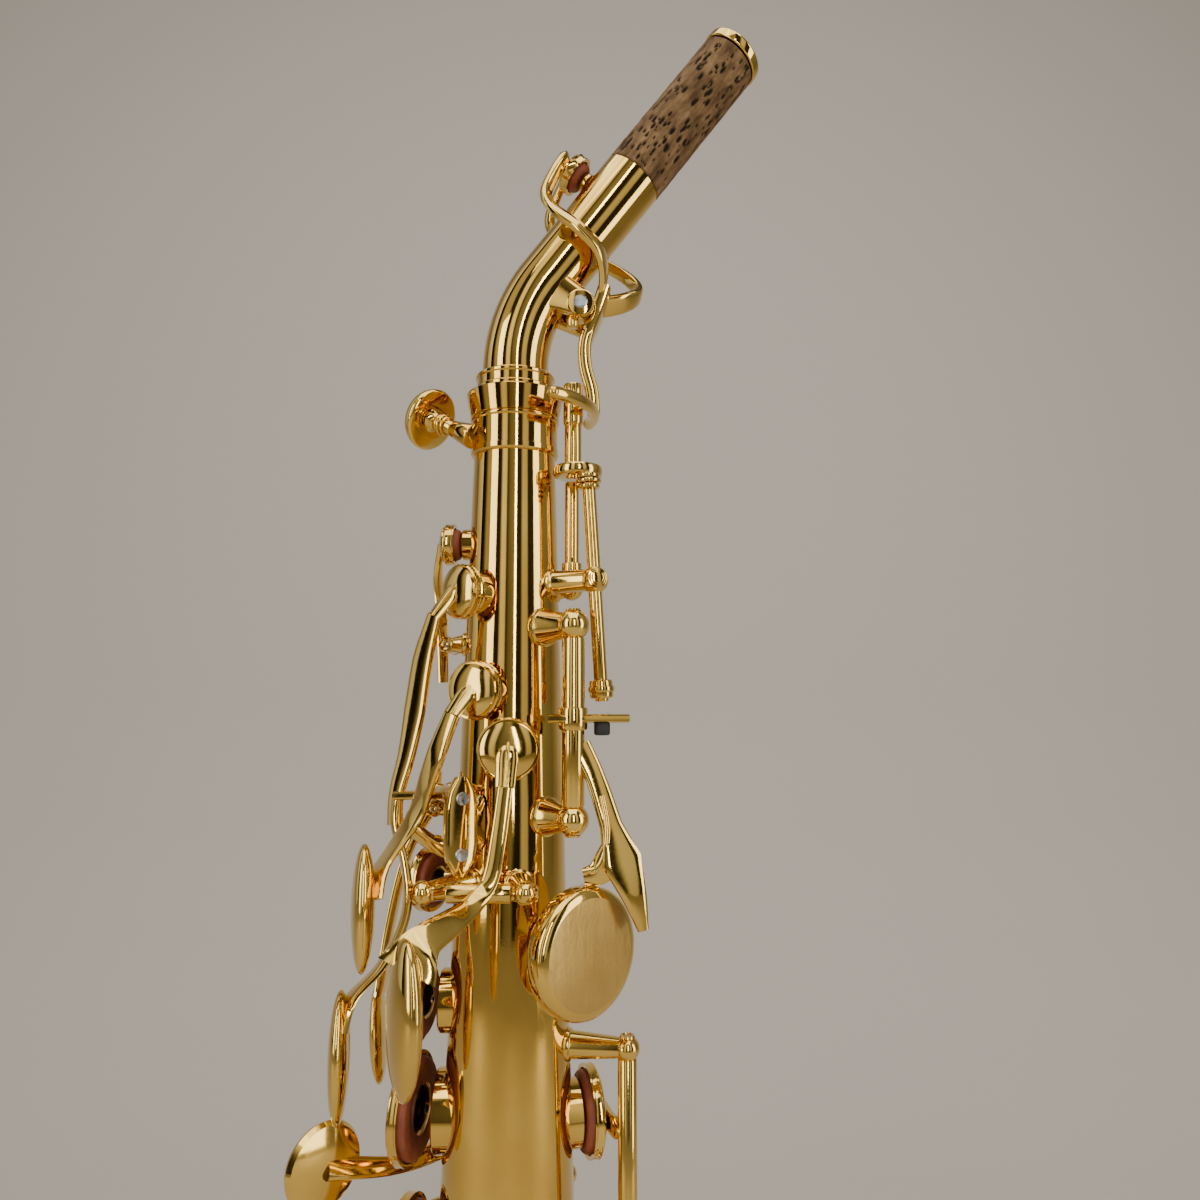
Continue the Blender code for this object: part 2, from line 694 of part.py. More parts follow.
def finger_dish(place):
    """A round finger touch, hollow on top for its pearl."""
    r = DISH_R
    rim = [(r - 1.5, 0.6), (r - 0.8, 1.2), (r, 0.9), (r - 0.5, -0.5)]
    return turned([(0.0, 0.3), *rim, (r * 0.5, -1.1), (0.0, -1.2)], place)


def make_key(name, hinge, span, lift, arm_z, touch=(), is_open=False, with_pad=True):
    """A key on a long hinge: tube, cup, arm and touch. An open key is lifted at rest."""
    phi, r = HINGES[hinge][:2]
    pivot = around(phi, r, span[0])
    pad_r = HOLES[name][2]
    pieces = [rod(pivot, around(phi, r, span[1]), TUBE_R), cup(hole_seat(name), pad_r)]
    pieces += [key_arm(phi, r, arm_z, name), *touch]
    turn = lift_angle(pivot, name, lift)
    swing = None
    if is_open:
        about = Matrix.Translation(pivot)
        swing = about @ Matrix.Rotation(math.radians(turn), 4, "Z") @ about.inverted()
    node = finish_node(name + "_key", pieces, BRASS, pivot=pivot, swing=swing)
    sign = -1 if (turn < 0) != is_open else 1
    set_joint(node, Vector((0, 0, sign)), abs(turn) - (PAD_REST if is_open else 0.0))
    if with_pad:
        make_pad(name + "_pad", hole_seat(name), pad_r, node, swing)


def dish_touch(hinge, arm_z, dish):
    """A finger dish on an arm from the hinge tube; it faces its own way."""
    hinge_phi, hinge_r = HINGES[hinge][:2]
    (phi, r, z), facing = dish
    out = around(facing, 1.0, 0.0)
    place = frame_at(around(phi, r, z), out)
    start, end = around(hinge_phi, hinge_r, arm_z), place @ Vector((0, 0, -0.6))
    bow = around(phi, 1.5, 0.0) if facing == phi else -out
    middle = (start + end) / 2 + bow
    middle.z = arm_z + (z - arm_z) * 0.25
    return [finger_dish(place), strap([start, middle, end], [4.0, 3.0, 3.4], ARM_THICK)]


def plate_touch(hinge, arm_z, place, size, bow=3.0):
    """An oval plate on an arm from the hinge tube."""
    hinge_phi, hinge_r = HINGES[hinge][:2]
    phi, r, z = place
    middle = around((hinge_phi + phi) / 2, (hinge_r + r) / 2 + bow, (arm_z + z) / 2)
    arm = strap([around(hinge_phi, hinge_r, arm_z), middle, around(phi, r, z)], [3.6, 3.4, 4.0], 1.6)
    return [lens(seat(phi, r, z), *size, PLATE_THICK), arm]


# Touches: a dish is its middle (angle, distance, height) and the angle it faces; a plate is its size.

B_DISH = (-65, 31.9, 405.8), -121
A_DISH = (-65, 32.2, 375.5), -121
G_DISH = (-65, 32.6, 345.0), -121
F_DISH = (-59, 39.0, 270.0), -59
E_DISH = (-59, 40.0, 236.0), -59
D_DISH = (-59, 41.0, 201.0), -59
SIDE_PLATE = (8.0, 20.0)
TABLE_PLATE = (11.0, 12.0)
FOOT_PLATE = (10.0, 9.0)


def make_upper_stack():
    """Keys hinged on the far side, so that their dishes face away from the player's left."""
    high, low = "upper_stack_high", "upper_stack_low"
    make_key("c", high, (437.2, 462.6), 2.4, 457.0, is_open=True)
    make_key("bis", high, (412.4, 436.8), 2.6, 431.0, is_open=True)
    make_key("b", high, (396.0, 412.0), 2.8, 408.0, dish_touch(high, 399.0, B_DISH), is_open=True)
    make_key("a", low, (365.4, 390.0), 2.8, 386.0, dish_touch(low, 368.8, A_DISH), is_open=True)
    make_key("g", low, (336.0, 365.0), 2.8, 360.0, dish_touch(low, 338.8, G_DISH), is_open=True)


def make_lower_stack():
    high, low = "lower_stack_high", "lower_stack_low"
    make_key("f_sharp", high, (297.2, 314.1), 2.8, 305.0, is_open=True)
    make_key("f", high, (254.9, 296.8), 2.9, 276.0, dish_touch(high, 262.0, F_DISH), is_open=True)
    make_key("e", low, (222.2, 249.1), 2.9, 243.0, dish_touch(low, 228.5, E_DISH), is_open=True)
    make_key("d", low, (185.9, 221.8), 2.9, 212.0, dish_touch(low, 193.0, D_DISH), is_open=True)


def make_side_keys():
    touch = plate_touch("side_c", 346.0, (122, 31.0, 346.0), SIDE_PLATE)
    make_key("side_c", "side_c", (337.0, 422.1), 2.6, 411.0, touch)
    touch = plate_touch("side_b_flat", 320.0, (128, 31.0, 320.0), SIDE_PLATE)
    make_key("side_b_flat", "side_b_flat", (309.0, 387.1), 2.6, 379.0, touch)
    touch = plate_touch("high_e", 373.0, (131, 31.0, 372.0), SIDE_PLATE, bow=5.0)
    make_key("high_e", "high_e", (365.0, 481.1), 2.4, 474.0, touch, with_pad=False)
    touch = plate_touch("high_f_sharp", 336.0, (248, 33.0, 333.0), (7.0, 15.0))
    make_key("high_f_sharp", "high_f_sharp", (331.0, 511.1), 2.2, 506.0, touch, with_pad=False)


def make_little_finger_keys():
    touch = plate_touch("g_sharp", 309.0, (-29, 38.0, 306.0), TABLE_PLATE)
    make_key("g_sharp", "g_sharp", (306.9, 343.1), 2.6, 328.0, touch)
    touch = plate_touch("low_c_sharp", 288.0, (-9, 39.0, 306.0), TABLE_PLATE)
    make_key("low_c_sharp", "low_c_sharp", (124.9, 295.1), 3.0, 131.0, touch, with_pad=False)
    touch = plate_touch("low_b_flat", 288.0, (9.5, 39.0, 306.0), TABLE_PLATE)
    make_key("low_b_flat", "low_b_flat", (56.9, 295.1), 3.0, 64.0, touch, True, with_pad=False)
    touch = plate_touch("low_b", 288.0, (29, 39.0, 306.0), TABLE_PLATE)
    make_key("low_b", "low_b", (88.9, 295.1), 3.0, 92.5, touch, True, with_pad=False)
    touch = plate_touch("low_c", 179.0, (-77, 38.0, 179.0), FOOT_PLATE)
    make_key("low_c", "low_c", (148.9, 183.1), 3.0, 158.0, touch, True, with_pad=False)
    touch = plate_touch("low_e_flat", 181.0, (-101, 38.0, 179.0), FOOT_PLATE, bow=2.0)
    make_key("low_e_flat", "low_e_flat", (152.9, 189.1), 2.8, 166.0, touch, with_pad=False)


# Palm keys

PALM_LINE = Vector((-0.5, 0.866, 0.0))  # hinge line of the palm E flat and F keys
PALM_PLATE = Vector((-8.3, -15.2, 0.0))
PALM_F_Z, PALM_E_FLAT_Z = 475.5, 464.9
PALM_HINGE_LENGTH = 9.0
PALM_D_HINGE = Vector((0.0, -18.0, 458.3))
PALM_D_X = (-14.8, 4.6)


def palm_point(along, z):
    point = PALM_PLATE + PALM_LINE * along
    return Vector((point.x, point.y, z))


def palm_posts():
    """Far posts of the palm F and E flat hinges, and the two of the palm D hinge."""
    posts = []
    for z in (PALM_F_Z, PALM_E_FLAT_Z):
        head = palm_point(PALM_HINGE_LENGTH + 3.9, z)
        posts += [rod(foot_under(head), head, 2.2, 1.6), ball(head, 2.0)]
    for x in PALM_D_X:
        head = PALM_D_HINGE + Vector((x, 0.0, 0.0))
        posts += [rod(foot_under(head), head, 2.4, 1.7), ball(head, 2.3)]
    return posts


def make_palm_plate():
    """The lens-shaped double post that both palm hinges end in, on one foot."""
    face = frame_at(palm_point(0.0, (PALM_F_Z + PALM_E_FLAT_Z) / 2), -PALM_LINE)
    ends = [rod(palm_point(-1.1, z), palm_point(1.1, z), 3.0, sides=12) for z in (PALM_F_Z, PALM_E_FLAT_Z)]
    web = block(face, (4.6, 11.0, 2.0))
    head = face.translation
    stem = foot_under(head)
    out = Vector((stem.x, stem.y, 0.0)).normalized()
    stem += out * (0.7 + GAP + 0.5)
    foot = block(frame_at(stem + out * 0.6, out), (4.0, 10.0, 1.2))
    neck = block(frame_at((stem + head) / 2, out), (2.6, 6.2, (head - stem).length + 1.0))
    return finish_node("palm_post_plate", [web, *ends, foot, neck], BRASS)


def palm_cup_top(hole):
    phi, z, _ = HOLES[hole]
    return around(phi, outer_radius(z) + CHIMNEY + ROOF + CUP_DOME * 0.6, z)


def make_palm_f():
    line = palm_point(1.8, PALM_F_Z), palm_point(PALM_HINGE_LENGTH + 1.5, PALM_F_Z)
    path = [palm_cup_top("palm_f"), Vector((-14.8, -10.4, 511.4)), Vector((-17.6, -8.0, 502.4)),
            Vector((-19.3, -6.5, 492.3)), Vector((-20.9, -6.0, 483.1)), Vector((-22.8, -6.0, 475.1)),
            Vector((-22.9, -6.2, 469.1)), Vector((-20.6, -7.0, 462.0)), Vector((-19.6, -8.0, 454.8)),
            Vector((-21.0, -9.0, 448.4)), Vector((-24.2, -11.0, 442.6)), Vector((-28.6, -13.8, 438.0)),
            Vector((-30.3, -15.0, 433.0))]
    arm = strap(path, [2.4, 3.8, 5.0, 5.0, 4.2, 4.4, 4.0, 3.4, 3.4, 4.0, 6.0], ARM_THICK)
    web = strap([palm_point(6.4, PALM_F_Z), Vector((-17.2, -7.6, 475.3)), Vector((-22.6, -6.0, 475.0))],
                [4.6, 3.6, 4.4], ARM_THICK, face=UP)
    touch = lens(frame_at(Vector((-30.4, -15.0, 427.6)), Vector((-1, -0.15, 0))), 12.0, 24.5, 4.0)
    hole = "palm_f"
    pieces = [rod(*line, TUBE_R), cup(hole_seat(hole), HOLES[hole][2]), arm, web, touch]
    node = finish_node("palm_f_key", pieces, BRASS, pivot=line[0])
    set_joint(node, -PALM_LINE, 5)
    make_pad("palm_f_pad", hole_seat(hole), HOLES[hole][2], node)


def make_palm_e_flat():
    line = palm_point(1.8, PALM_E_FLAT_Z), palm_point(PALM_HINGE_LENGTH + 1.5, PALM_E_FLAT_Z)
    path = [palm_cup_top("palm_e_flat"), Vector((-9.9, -17.4, 491.6)), Vector((-12.4, -17.6, 485.0)),
            Vector((-14.8, -15.4, 478.8)), Vector((-17.2, -13.0, 472.4)), Vector((-20.2, -14.0, 467.4)),
            Vector((-23.8, -17.6, 463.4)), Vector((-25.4, -19.9, 460.0))]
    arm = strap(path, [2.4, 3.4, 4.4, 4.8, 5.2, 10.0], ARM_THICK)
    root = palm_point(3.4, PALM_E_FLAT_Z)
    web = strap([root, Vector((-14.0, -12.6, 466.6)), Vector((-18.0, -13.4, 469.6))],
                [3.6, 3.4, 4.0], ARM_THICK)
    touch = lens(frame_at(Vector((-25.4, -20.0, 456.0)), Vector((-1, -0.25, 0))), 12.0, 23.5, 4.4)
    hole = "palm_e_flat"
    pieces = [rod(*line, TUBE_R), cup(hole_seat(hole), HOLES[hole][2]), arm, web, touch]
    node = finish_node("palm_e_flat_key", pieces, BRASS, pivot=line[0])
    set_joint(node, -PALM_LINE, 6)
    make_pad("palm_e_flat_pad", hole_seat(hole), HOLES[hole][2], node)


def make_palm_d():
    left, right = PALM_D_X[0] + 4.6, PALM_D_X[1] - 2.7
    ends = [PALM_D_HINGE + Vector((x, 0.0, 0.0)) for x in (left, right)]
    path = [palm_cup_top("palm_d"), Vector((0.7, -19.6, 478.0)), Vector((-0.3, -20.8, 469.0)),
            Vector((-1.8, -21.4, 461.0)), Vector((-4.6, -24.8, 457.4)), Vector((-7.4, -30.0, 455.8)),
            Vector((-11.2, -35.8, 453.8)), Vector((-13.4, -37.9, 449.8))]
    arm = strap(path, [2.4, 3.2, 3.2, 3.4, 4.2, 5.4, 8.0], ARM_THICK, face=Vector((0.0, -1.0, 0.35)))
    web = strap([Vector((-2.0, -18.0, 459.0)), Vector((-2.0, -20.0, 459.6)), Vector((-2.0, -22.0, 460.0))],
                [5.0, 4.6, 4.0], 2.4, face=UP)
    touch = lens(frame_at(Vector((-13.6, -38.0, 442.3)), Vector((-0.86, -0.5, 0))), 12.5, 26.0, 5.0)
    hole = "palm_d"
    pieces = [rod(*ends, TUBE_R), cup(hole_seat(hole), HOLES[hole][2]), arm, web, touch]
    node = finish_node("palm_d_key", pieces, BRASS, pivot=ends[0])
    set_joint(node, Vector((1, 0, 0)), 6)
    make_pad("palm_d_pad", hole_seat(hole), HOLES[hole][2], node)


# Body octave key and front F key

OCTAVE_HINGE = Vector((-14.0, 5.0, 506.0))
FRONT_F_HINGE = Vector((-15.6, 3.0, 472.0))
CROSS_TUBE = ACROSS * 1.8  # from the middle of a cross hinge to the end of its key's tube
CROSS_POST = ACROSS * 5.4


def cross_posts():
    """Small posts either side of the two hinges that lie across the front of the body."""
    posts = []
    for hinge in (OCTAVE_HINGE, FRONT_F_HINGE):
        for head in (hinge - CROSS_POST, hinge + CROSS_POST):
            posts += [rod(foot_under(head), head, 1.9, 1.4), ball(head, 1.8)]
    return posts


def make_body_octave_key():
    hole = "octave"
    tube = rod(OCTAVE_HINGE - CROSS_TUBE, OCTAVE_HINGE + CROSS_TUBE, 1.7)
    arm = strap([palm_cup_top(hole), Vector((-16.8, 3.2, 521.0)), Vector((-16.2, 5.0, 512.0)),
                 Vector((-15.6, 5.2, 498.0))], [2.4, 3.2, 4.0, 3.2], ARM_THICK)
    node = finish_node("body_octave_key", [tube, cup(hole_seat(hole), HOLES[hole][2]), arm], BRASS,
                       pivot=OCTAVE_HINGE)
    set_joint(node, -ACROSS, 5)
    make_pad("body_octave_pad", hole_seat(hole), HOLES[hole][2], node)


def make_front_f():
    tube = rod(FRONT_F_HINGE - CROSS_TUBE, FRONT_F_HINGE + CROSS_TUBE, 1.7)
    arm = strap([Vector((-16.2, 3.0, 479.0)), Vector((-17.0, 3.0, 472.0)), Vector((-22.0, 2.8, 462.0)),
                 Vector((-25.2, 2.4, 448.0)), Vector((-26.8, 2.2, 434.0))], [3.4, 4.4, 4.0, 4.0], ARM_THICK)
    touch = lens(frame_at(Vector((-27.0, 2.0, 426.0)), Vector((-1, 0, -0.06))), 11.0, 20.0, 3.0)
    node = finish_node("front_f_key", [tube, arm, touch], BRASS, pivot=FRONT_F_HINGE)
    set_joint(node, -ACROSS, 2.5)


# Rests, hook, ring and guard


def make_thumb_rest():
    place = seat(43, cone_radius(447.1) + GAP, 447.1)
    profile = [(0.0, 13.2), (11.2, 13.0), (12.2, 12.2), (12.2, 8.4), (9.0, 7.6), (3.4, 6.6), (3.4, 1.8),
               (4.4, 0.4), (0.0, 0.4)]
    return finish_node("thumb_rest", [turned(profile, place, steps=20)], BRASS)


def make_thumb_hook():
    phi, z = 92, 252.0
    start = outer_radius(z) + GAP + 0.2
    plate = block(seat(phi, start + 1.0, z), (10.0, 22.0, 1.6))
    hook = [around(phi, start + 1.0, z + 6.0), around(phi, start + 9.0, z + 7.0),
            around(phi, start + 17.0, z + 3.0), around(phi, start + 18.0, z - 6.0)]
    arm = strap(hook, [8.0, 10.0, 12.0, 9.0], 2.0, face=Vector((-0.2, 0.0, 1.0)))
    return finish_node("thumb_hook", [plate, arm], BRASS)


def make_strap_ring():
    phi, z = 92, 296.0
    start = outer_radius(z) + GAP + 0.2
    foot = block(seat(phi, start + 0.8, z), (7.0, 14.0, 1.4))
    centre = seat(phi, start + 6.6, z)
    turn = Matrix.Rotation(math.radians(90), 4, "Y")
    loop = turned([(3.4, 1.1), (5.6, 1.1), (5.6, -1.1), (3.4, -1.1), (3.4, 1.1)], centre @ turn, steps=16)
    return finish_node("strap_ring", [foot, loop], BRASS)


GUARD_CLEAR = 10.5


def make_guard(name, hole):
    """A wire guard over a low key's cup, with a bumper plate under its top."""
    phi, z, pad_r = HOLES[hole]
    reach = pad_r + 3.4
    top = outer_radius(z) + CHIMNEY + PAD_THICK + CUP_DOME + GUARD_CLEAR
    legs = []
    for side in (-1, 1):
        foot_z = z + side * reach
        legs.append(around(phi, outer_radius(foot_z - 2.3) + GAP + 0.6, foot_z))
    shoulder, bend = top - 4.0, reach * 0.6
    path = [legs[0], around(phi, shoulder, z - reach), around(phi, top, z - bend), around(phi, top, z),
            around(phi, top, z + bend), around(phi, shoulder, z + reach), legs[1]]
    plate = rod(around(phi, top - 1.6, z), around(phi, top + 1.4, z), 4.6, sides=12)
    feet = [block(frame_at(leg, around(phi, 1.0, 0.0)), (6.0, 4.6, 1.0)) for leg in legs]
    return finish_node(name, [wire(path, 1.3), plate, *feet], BRASS)


def clear_scene():
    for old in list(bpy.data.objects):
        bpy.data.objects.remove(old)


def new_collection(name):
    made = bpy.data.collections.new(name)
    bpy.context.scene.collection.children.link(made)
    return made


clear_scene()
PARTS = new_collection("soprano_saxophone")
CUTTERS = new_collection("pieces")
AXIS = bpy.data.objects.new("body_axis", None)
AXIS.location = (AXIS_X * MM, 0.0, 0.0)
PARTS.objects.link(AXIS)

make_body()
make_bell()
make_joint_ring()
make_receiver()
make_neck_screw()
make_neck()
make_cork()
make_tip_ring()
make_neck_key()
make_swing_rod()
make_link_rod()
make_thumb_lever()
make_palm_plate()
make_palm_f()
make_palm_e_flat()
make_palm_d()
make_body_octave_key()
make_front_f()
make_upper_stack()
make_lower_stack()
make_side_keys()
make_little_finger_keys()
make_thumb_rest()
make_thumb_hook()
make_strap_ring()
make_guard("low_b_guard", "low_b")
make_guard("low_b_flat_guard", "low_b_flat")
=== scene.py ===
"""Looks of a curved-neck soprano saxophone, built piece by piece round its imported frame.

Lengths are in millimetres from the body's axis until finish_piece() puts a piece in the frame's metres.
Angles round the body run from the player's left side (-Y) towards the player (+X), in degrees.
"""
import math
import random

import bmesh
import bpy
from mathutils import Matrix, Vector, noise


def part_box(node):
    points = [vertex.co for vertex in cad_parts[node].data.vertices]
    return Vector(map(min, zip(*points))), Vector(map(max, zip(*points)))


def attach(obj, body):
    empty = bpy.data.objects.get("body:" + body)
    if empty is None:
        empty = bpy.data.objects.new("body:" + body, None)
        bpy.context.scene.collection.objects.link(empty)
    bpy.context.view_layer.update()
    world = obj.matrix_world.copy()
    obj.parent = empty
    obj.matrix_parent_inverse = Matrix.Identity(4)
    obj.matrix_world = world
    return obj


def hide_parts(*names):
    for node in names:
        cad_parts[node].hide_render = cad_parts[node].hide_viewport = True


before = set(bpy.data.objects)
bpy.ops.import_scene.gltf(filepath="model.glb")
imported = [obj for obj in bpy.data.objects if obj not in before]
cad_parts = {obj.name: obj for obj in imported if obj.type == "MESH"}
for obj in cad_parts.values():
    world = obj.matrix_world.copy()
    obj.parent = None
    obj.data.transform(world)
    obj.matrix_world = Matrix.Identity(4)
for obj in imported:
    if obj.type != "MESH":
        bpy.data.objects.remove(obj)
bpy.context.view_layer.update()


# Body tube. A drawn cone of brass sheet, lacquered gold, with a short chimney drawn up round each tone
# hole and the key posts soldered on. Everything else on the instrument is placed from its axis.

MM = 0.001
GAP = 0.3
WALL = 0.8
TUBE_TOP, TUBE_TOP_R, TAPER = 546.9, 8.8, 0.03025
BELL_TOP = 114.5
BELL_RIM_R, FLARE_FROM, FLARE_POWER = 46.5, 95.0, 4.0
CHIMNEY = 1.6

bell_low, bell_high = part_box("bell")
AXIS_X = (bell_low.x + bell_high.x) / 2

# name: angle, height, pad radius
TONE_HOLES = {
    "octave": (-90, 527.5, 3.4), "palm_f": (-43, 516.2, 4.5), "high_f_sharp": (172, 506.0, 4.8),
    "palm_e_flat": (-25, 496.3, 4.8), "palm_d": (3, 484.8, 5.0), "high_e": (145, 474.0, 5.6),
    "c": (-104, 456.5, 5.6), "bis": (-90, 433.2, 7.4), "b": (-90, 411.8, 9.6), "side_c": (105, 409.8, 7.8),
    "a": (-90, 384.0, 9.4), "side_b_flat": (118, 378.0, 8.2), "g": (-90, 353.0, 10.0),
    "g_sharp": (25, 326.0, 9.0), "f_sharp": (-90, 303.0, 10.4), "f": (-90, 270.0, 11.0),
    "e": (-90, 236.0, 11.6), "d": (-90, 200.0, 12.2), "low_e_flat": (-165, 166.0, 11.6),
    "low_c": (-95, 157.0, 12.6), "low_c_sharp": (-38, 133.0, 11.8), "low_b": (58, 91.0, 12.6),
    "low_b_flat": (-28, 64.0, 13.0),
}
BELL_HOLES = ("low_b", "low_b_flat")
HOLE_SHARE = 0.74

# name: angle, distance from the axis, lower and upper post
HINGES = {
    "upper_high": (-140, 19.3, 393.0, 466.0), "upper_low": (-140, 19.3, 333.0, 393.0),
    "lower_high": (-32, 25.0, 252.0, 317.0), "lower_low": (-32, 25.0, 183.0, 252.0),
    "high_f_sharp": (200, 20.2, 328.0, 514.0), "high_e": (178, 19.5, 362.0, 484.0),
    "side_c": (80, 24.4, 334.0, 425.3), "side_b_flat": (150, 22.0, 306.0, 390.0),
    "g_sharp": (-12, 23.0, 304.0, 346.0), "low_c_sharp": (-5, 31.0, 122.0, 298.0),
    "low_b_flat": (10, 31.0, 54.0, 298.0), "low_b": (25, 31.0, 86.0, 298.0),
    "low_c": (-60, 30.0, 146.0, 186.0), "low_e_flat": (-136, 29.0, 150.0, 192.0),
}


def cone_radius(z):
    return TUBE_TOP_R + TAPER * (TUBE_TOP - z)


def outer_radius(z):
    flare = max(0.0, 1.0 - z / FLARE_FROM) ** FLARE_POWER
    return cone_radius(z) + (BELL_RIM_R - cone_radius(0.0)) * flare


def around(phi, r, z):
    turn = math.radians(phi)
    return Vector((r * math.sin(turn), -r * math.cos(turn), z))


def frame_at(origin, out, up=Vector((0.0, 0.0, 1.0))):
    """A frame at origin: Z along out, Y as near to up as it can be."""
    out = out.normalized()
    side = up.cross(out).normalized()
    turned = Matrix((side, out.cross(side), out)).transposed().to_4x4()
    turned.translation = origin
    return turned


def seat(phi, r, z):
    return frame_at(around(phi, r, z), around(phi, 1.0, 0.0))


def turn_profile(bm, profile, place=Matrix.Identity(4), steps=48):
    """Spin a profile of (r, z) round the frame's Z axis."""
    verts = [bm.verts.new(place @ Vector((r, 0.0, z))) for r, z in profile]
    edges = [bm.edges.new(pair) for pair in zip(verts, verts[1:])]
    centre = place.translation
    bmesh.ops.spin(bm, geom=verts + edges, cent=centre, axis=place.col[2].xyz, angle=math.tau, steps=steps,
                   use_merge=True)


def round_profile(points, r=0.3, steps=3):
    """The profile with its inner corners rounded off."""
    out = [points[0]]
    for a, b, c in zip(points, points[1:], points[2:]):
        a, b, c = (Vector(p) for p in (a, b, c))
        cut = min(r, (a - b).length * 0.45, (c - b).length * 0.45)
        first = b + (a - b).normalized() * cut
        last = b + (c - b).normalized() * cut
        for i in range(steps + 1):
            t = i / steps
            out.append(tuple(first * (1 - t) ** 2 + b * 2 * t * (1 - t) + last * t * t))
    return [*out, points[-1]]


def bar(bm, start, end, r, r_end=None, sides=20, soften=0.25):
    """A round bar with softened ends."""
    along = end - start
    place = Matrix.Translation((start + end) / 2) @ along.to_track_quat("Z", "Y").to_matrix().to_4x4()
    made = bmesh.ops.create_cone(bm, cap_ends=True, segments=sides, radius1=r, radius2=r_end or r,
                                 depth=along.length, matrix=place)
    caps = [e for e in {e for v in made["verts"] for e in v.link_edges} if any(len(f.verts) > 4 for f in e.link_faces)]
    bmesh.ops.bevel(bm, geom=caps, offset=soften, segments=2, profile=0.5, affect="EDGES", material=-1)


def ball(bm, centre, r, sides=20):
    bmesh.ops.create_uvsphere(bm, u_segments=sides, v_segments=sides * 2 // 3, radius=r,
                              matrix=Matrix.Translation(centre))


def feed(tree, node, inputs):
    """Give each input of a node a value, or the output of another node."""
    for name, value in inputs.items():
        if isinstance(value, bpy.types.NodeSocket):
            tree.links.new(value, node.inputs[name])
        else:
            node.inputs[name].default_value = value


def add_node(tree, kind, inputs, **settings):
    """A shader node with its settings made and its inputs fed."""
    node = tree.nodes.new("ShaderNode" + kind)
    for name, value in settings.items():
        setattr(node, name, value)
    feed(tree, node, inputs)
    return node


def wear_group():
    """Fine rubbing marks and cloudy lacquer, from the piece's own coordinates."""
    group = bpy.data.node_groups.new("lacquer_wear", "ShaderNodeTree")
    for name, way, kind in (("Vector", "INPUT", "Vector"), ("Cloud", "OUTPUT", "Float"), ("Scratch",
                                                                                          "OUTPUT", "Float")):
        group.interface.new_socket(name, in_out=way, socket_type="NodeSocket" + kind)
    place = group.nodes.new("NodeGroupInput").outputs["Vector"]
    cloud = add_node(group, "TexNoise", {"Vector": place, "Scale": 55.0, "Detail": 4.0})
    stretch = add_node(group, "Mapping", {"Vector": place, "Scale": (900.0, 900.0, 60.0)})
    streaks = add_node(group, "TexNoise", {"Vector": stretch.outputs["Vector"], "Scale": 1.0, "Detail": 6.0})
    fine = add_node(group, "TexNoise", {"Vector": place, "Scale": 1400.0})
    blend = add_node(group, "Mix", {"Factor": 0.5, "A": streaks.outputs["Fac"], "B": fine.outputs["Fac"]})
    result = {"Cloud": cloud.outputs["Fac"], "Scratch": blend.outputs["Result"]}
    feed(group, group.nodes.new("NodeGroupOutput"), result)
    return group


LACQUER_WEAR = wear_group()


def spread(tree, source, low, high):
    """A mask's 0.3 to 0.7 spread to low and high."""
    inputs = {"Value": source, "From Min": 0.3, "From Max": 0.7, "To Min": low, "To Max": high}
    return add_node(tree, "MapRange", inputs).outputs["Result"]


def mixed(tree, share, first, second):
    """Two colours blended by a share."""
    inputs = {"Factor": share, "A": (*first, 1.0), "B": (*second, 1.0)}
    return add_node(tree, "Mix", inputs, data_type="RGBA").outputs["Result"]


def colour_ramp(tree, source, stops):
    """Colours at places along a ramp, three or more."""
    ramp = add_node(tree, "ValToRGB", {"Fac": source})
    steps = ramp.color_ramp.elements
    steps[0].position, steps[1].position = stops[0][0], stops[-1][0]
    steps[0].color, steps[1].color = (*stops[0][1], 1.0), (*stops[-1][1], 1.0)
    for where, colour in stops[1:-1]:
        steps.new(where).color = (*colour, 1.0)
    return ramp.outputs["Color"]


def bumped(tree, height, strength, distance=0.0002):
    inputs = {"Height": height, "Strength": strength, "Distance": distance}
    return add_node(tree, "Bump", inputs).outputs["Normal"]


def new_material(name):
    """A material, with its node tree, its shader and the piece's own coordinates."""
    made = bpy.data.materials.new(name)
    made.use_nodes = True
    tree = made.node_tree
    return made, tree, tree.nodes["Principled BSDF"], add_node(tree, "TexCoord", {}).outputs["Object"]


def metal(name, light, dark, rough, coat=0.4, bump=0.02):
    """Polished metal under clear lacquer, slightly cloudy, with fine rubbing marks."""
    made, tree, shader, place = new_material(name)
    wear = add_node(tree, "Group", {"Vector": place}, node_tree=LACQUER_WEAR).outputs
    feed(tree, shader, {
        "Metallic": 1.0, "Coat Weight": coat, "Coat Roughness": 0.04,
        "Base Color": mixed(tree, spread(tree, wear["Cloud"], 0.0, 1.0), dark, light),
        "Roughness": spread(tree, wear["Scratch"], rough * 0.7, rough * 1.5),
        "Normal": bumped(tree, wear["Scratch"], bump)})
    return made


GOLD = metal("gold_lacquered_brass", (0.82, 0.54, 0.11), (0.64, 0.38, 0.06), 0.05)
KEY_GOLD = metal("gold_lacquered_keywork", (0.86, 0.59, 0.14), (0.68, 0.43, 0.08), 0.08)


INTO_FRAME = Matrix.Translation((AXIS_X, 0, 0)) @ Matrix.Scale(MM, 4)


def place_object(bm, name):
    mesh = bpy.data.meshes.new(name)
    bm.to_mesh(mesh)
    bm.free()
    made = bpy.data.objects.new(name, mesh)
    bpy.context.scene.collection.objects.link(made)
    return made


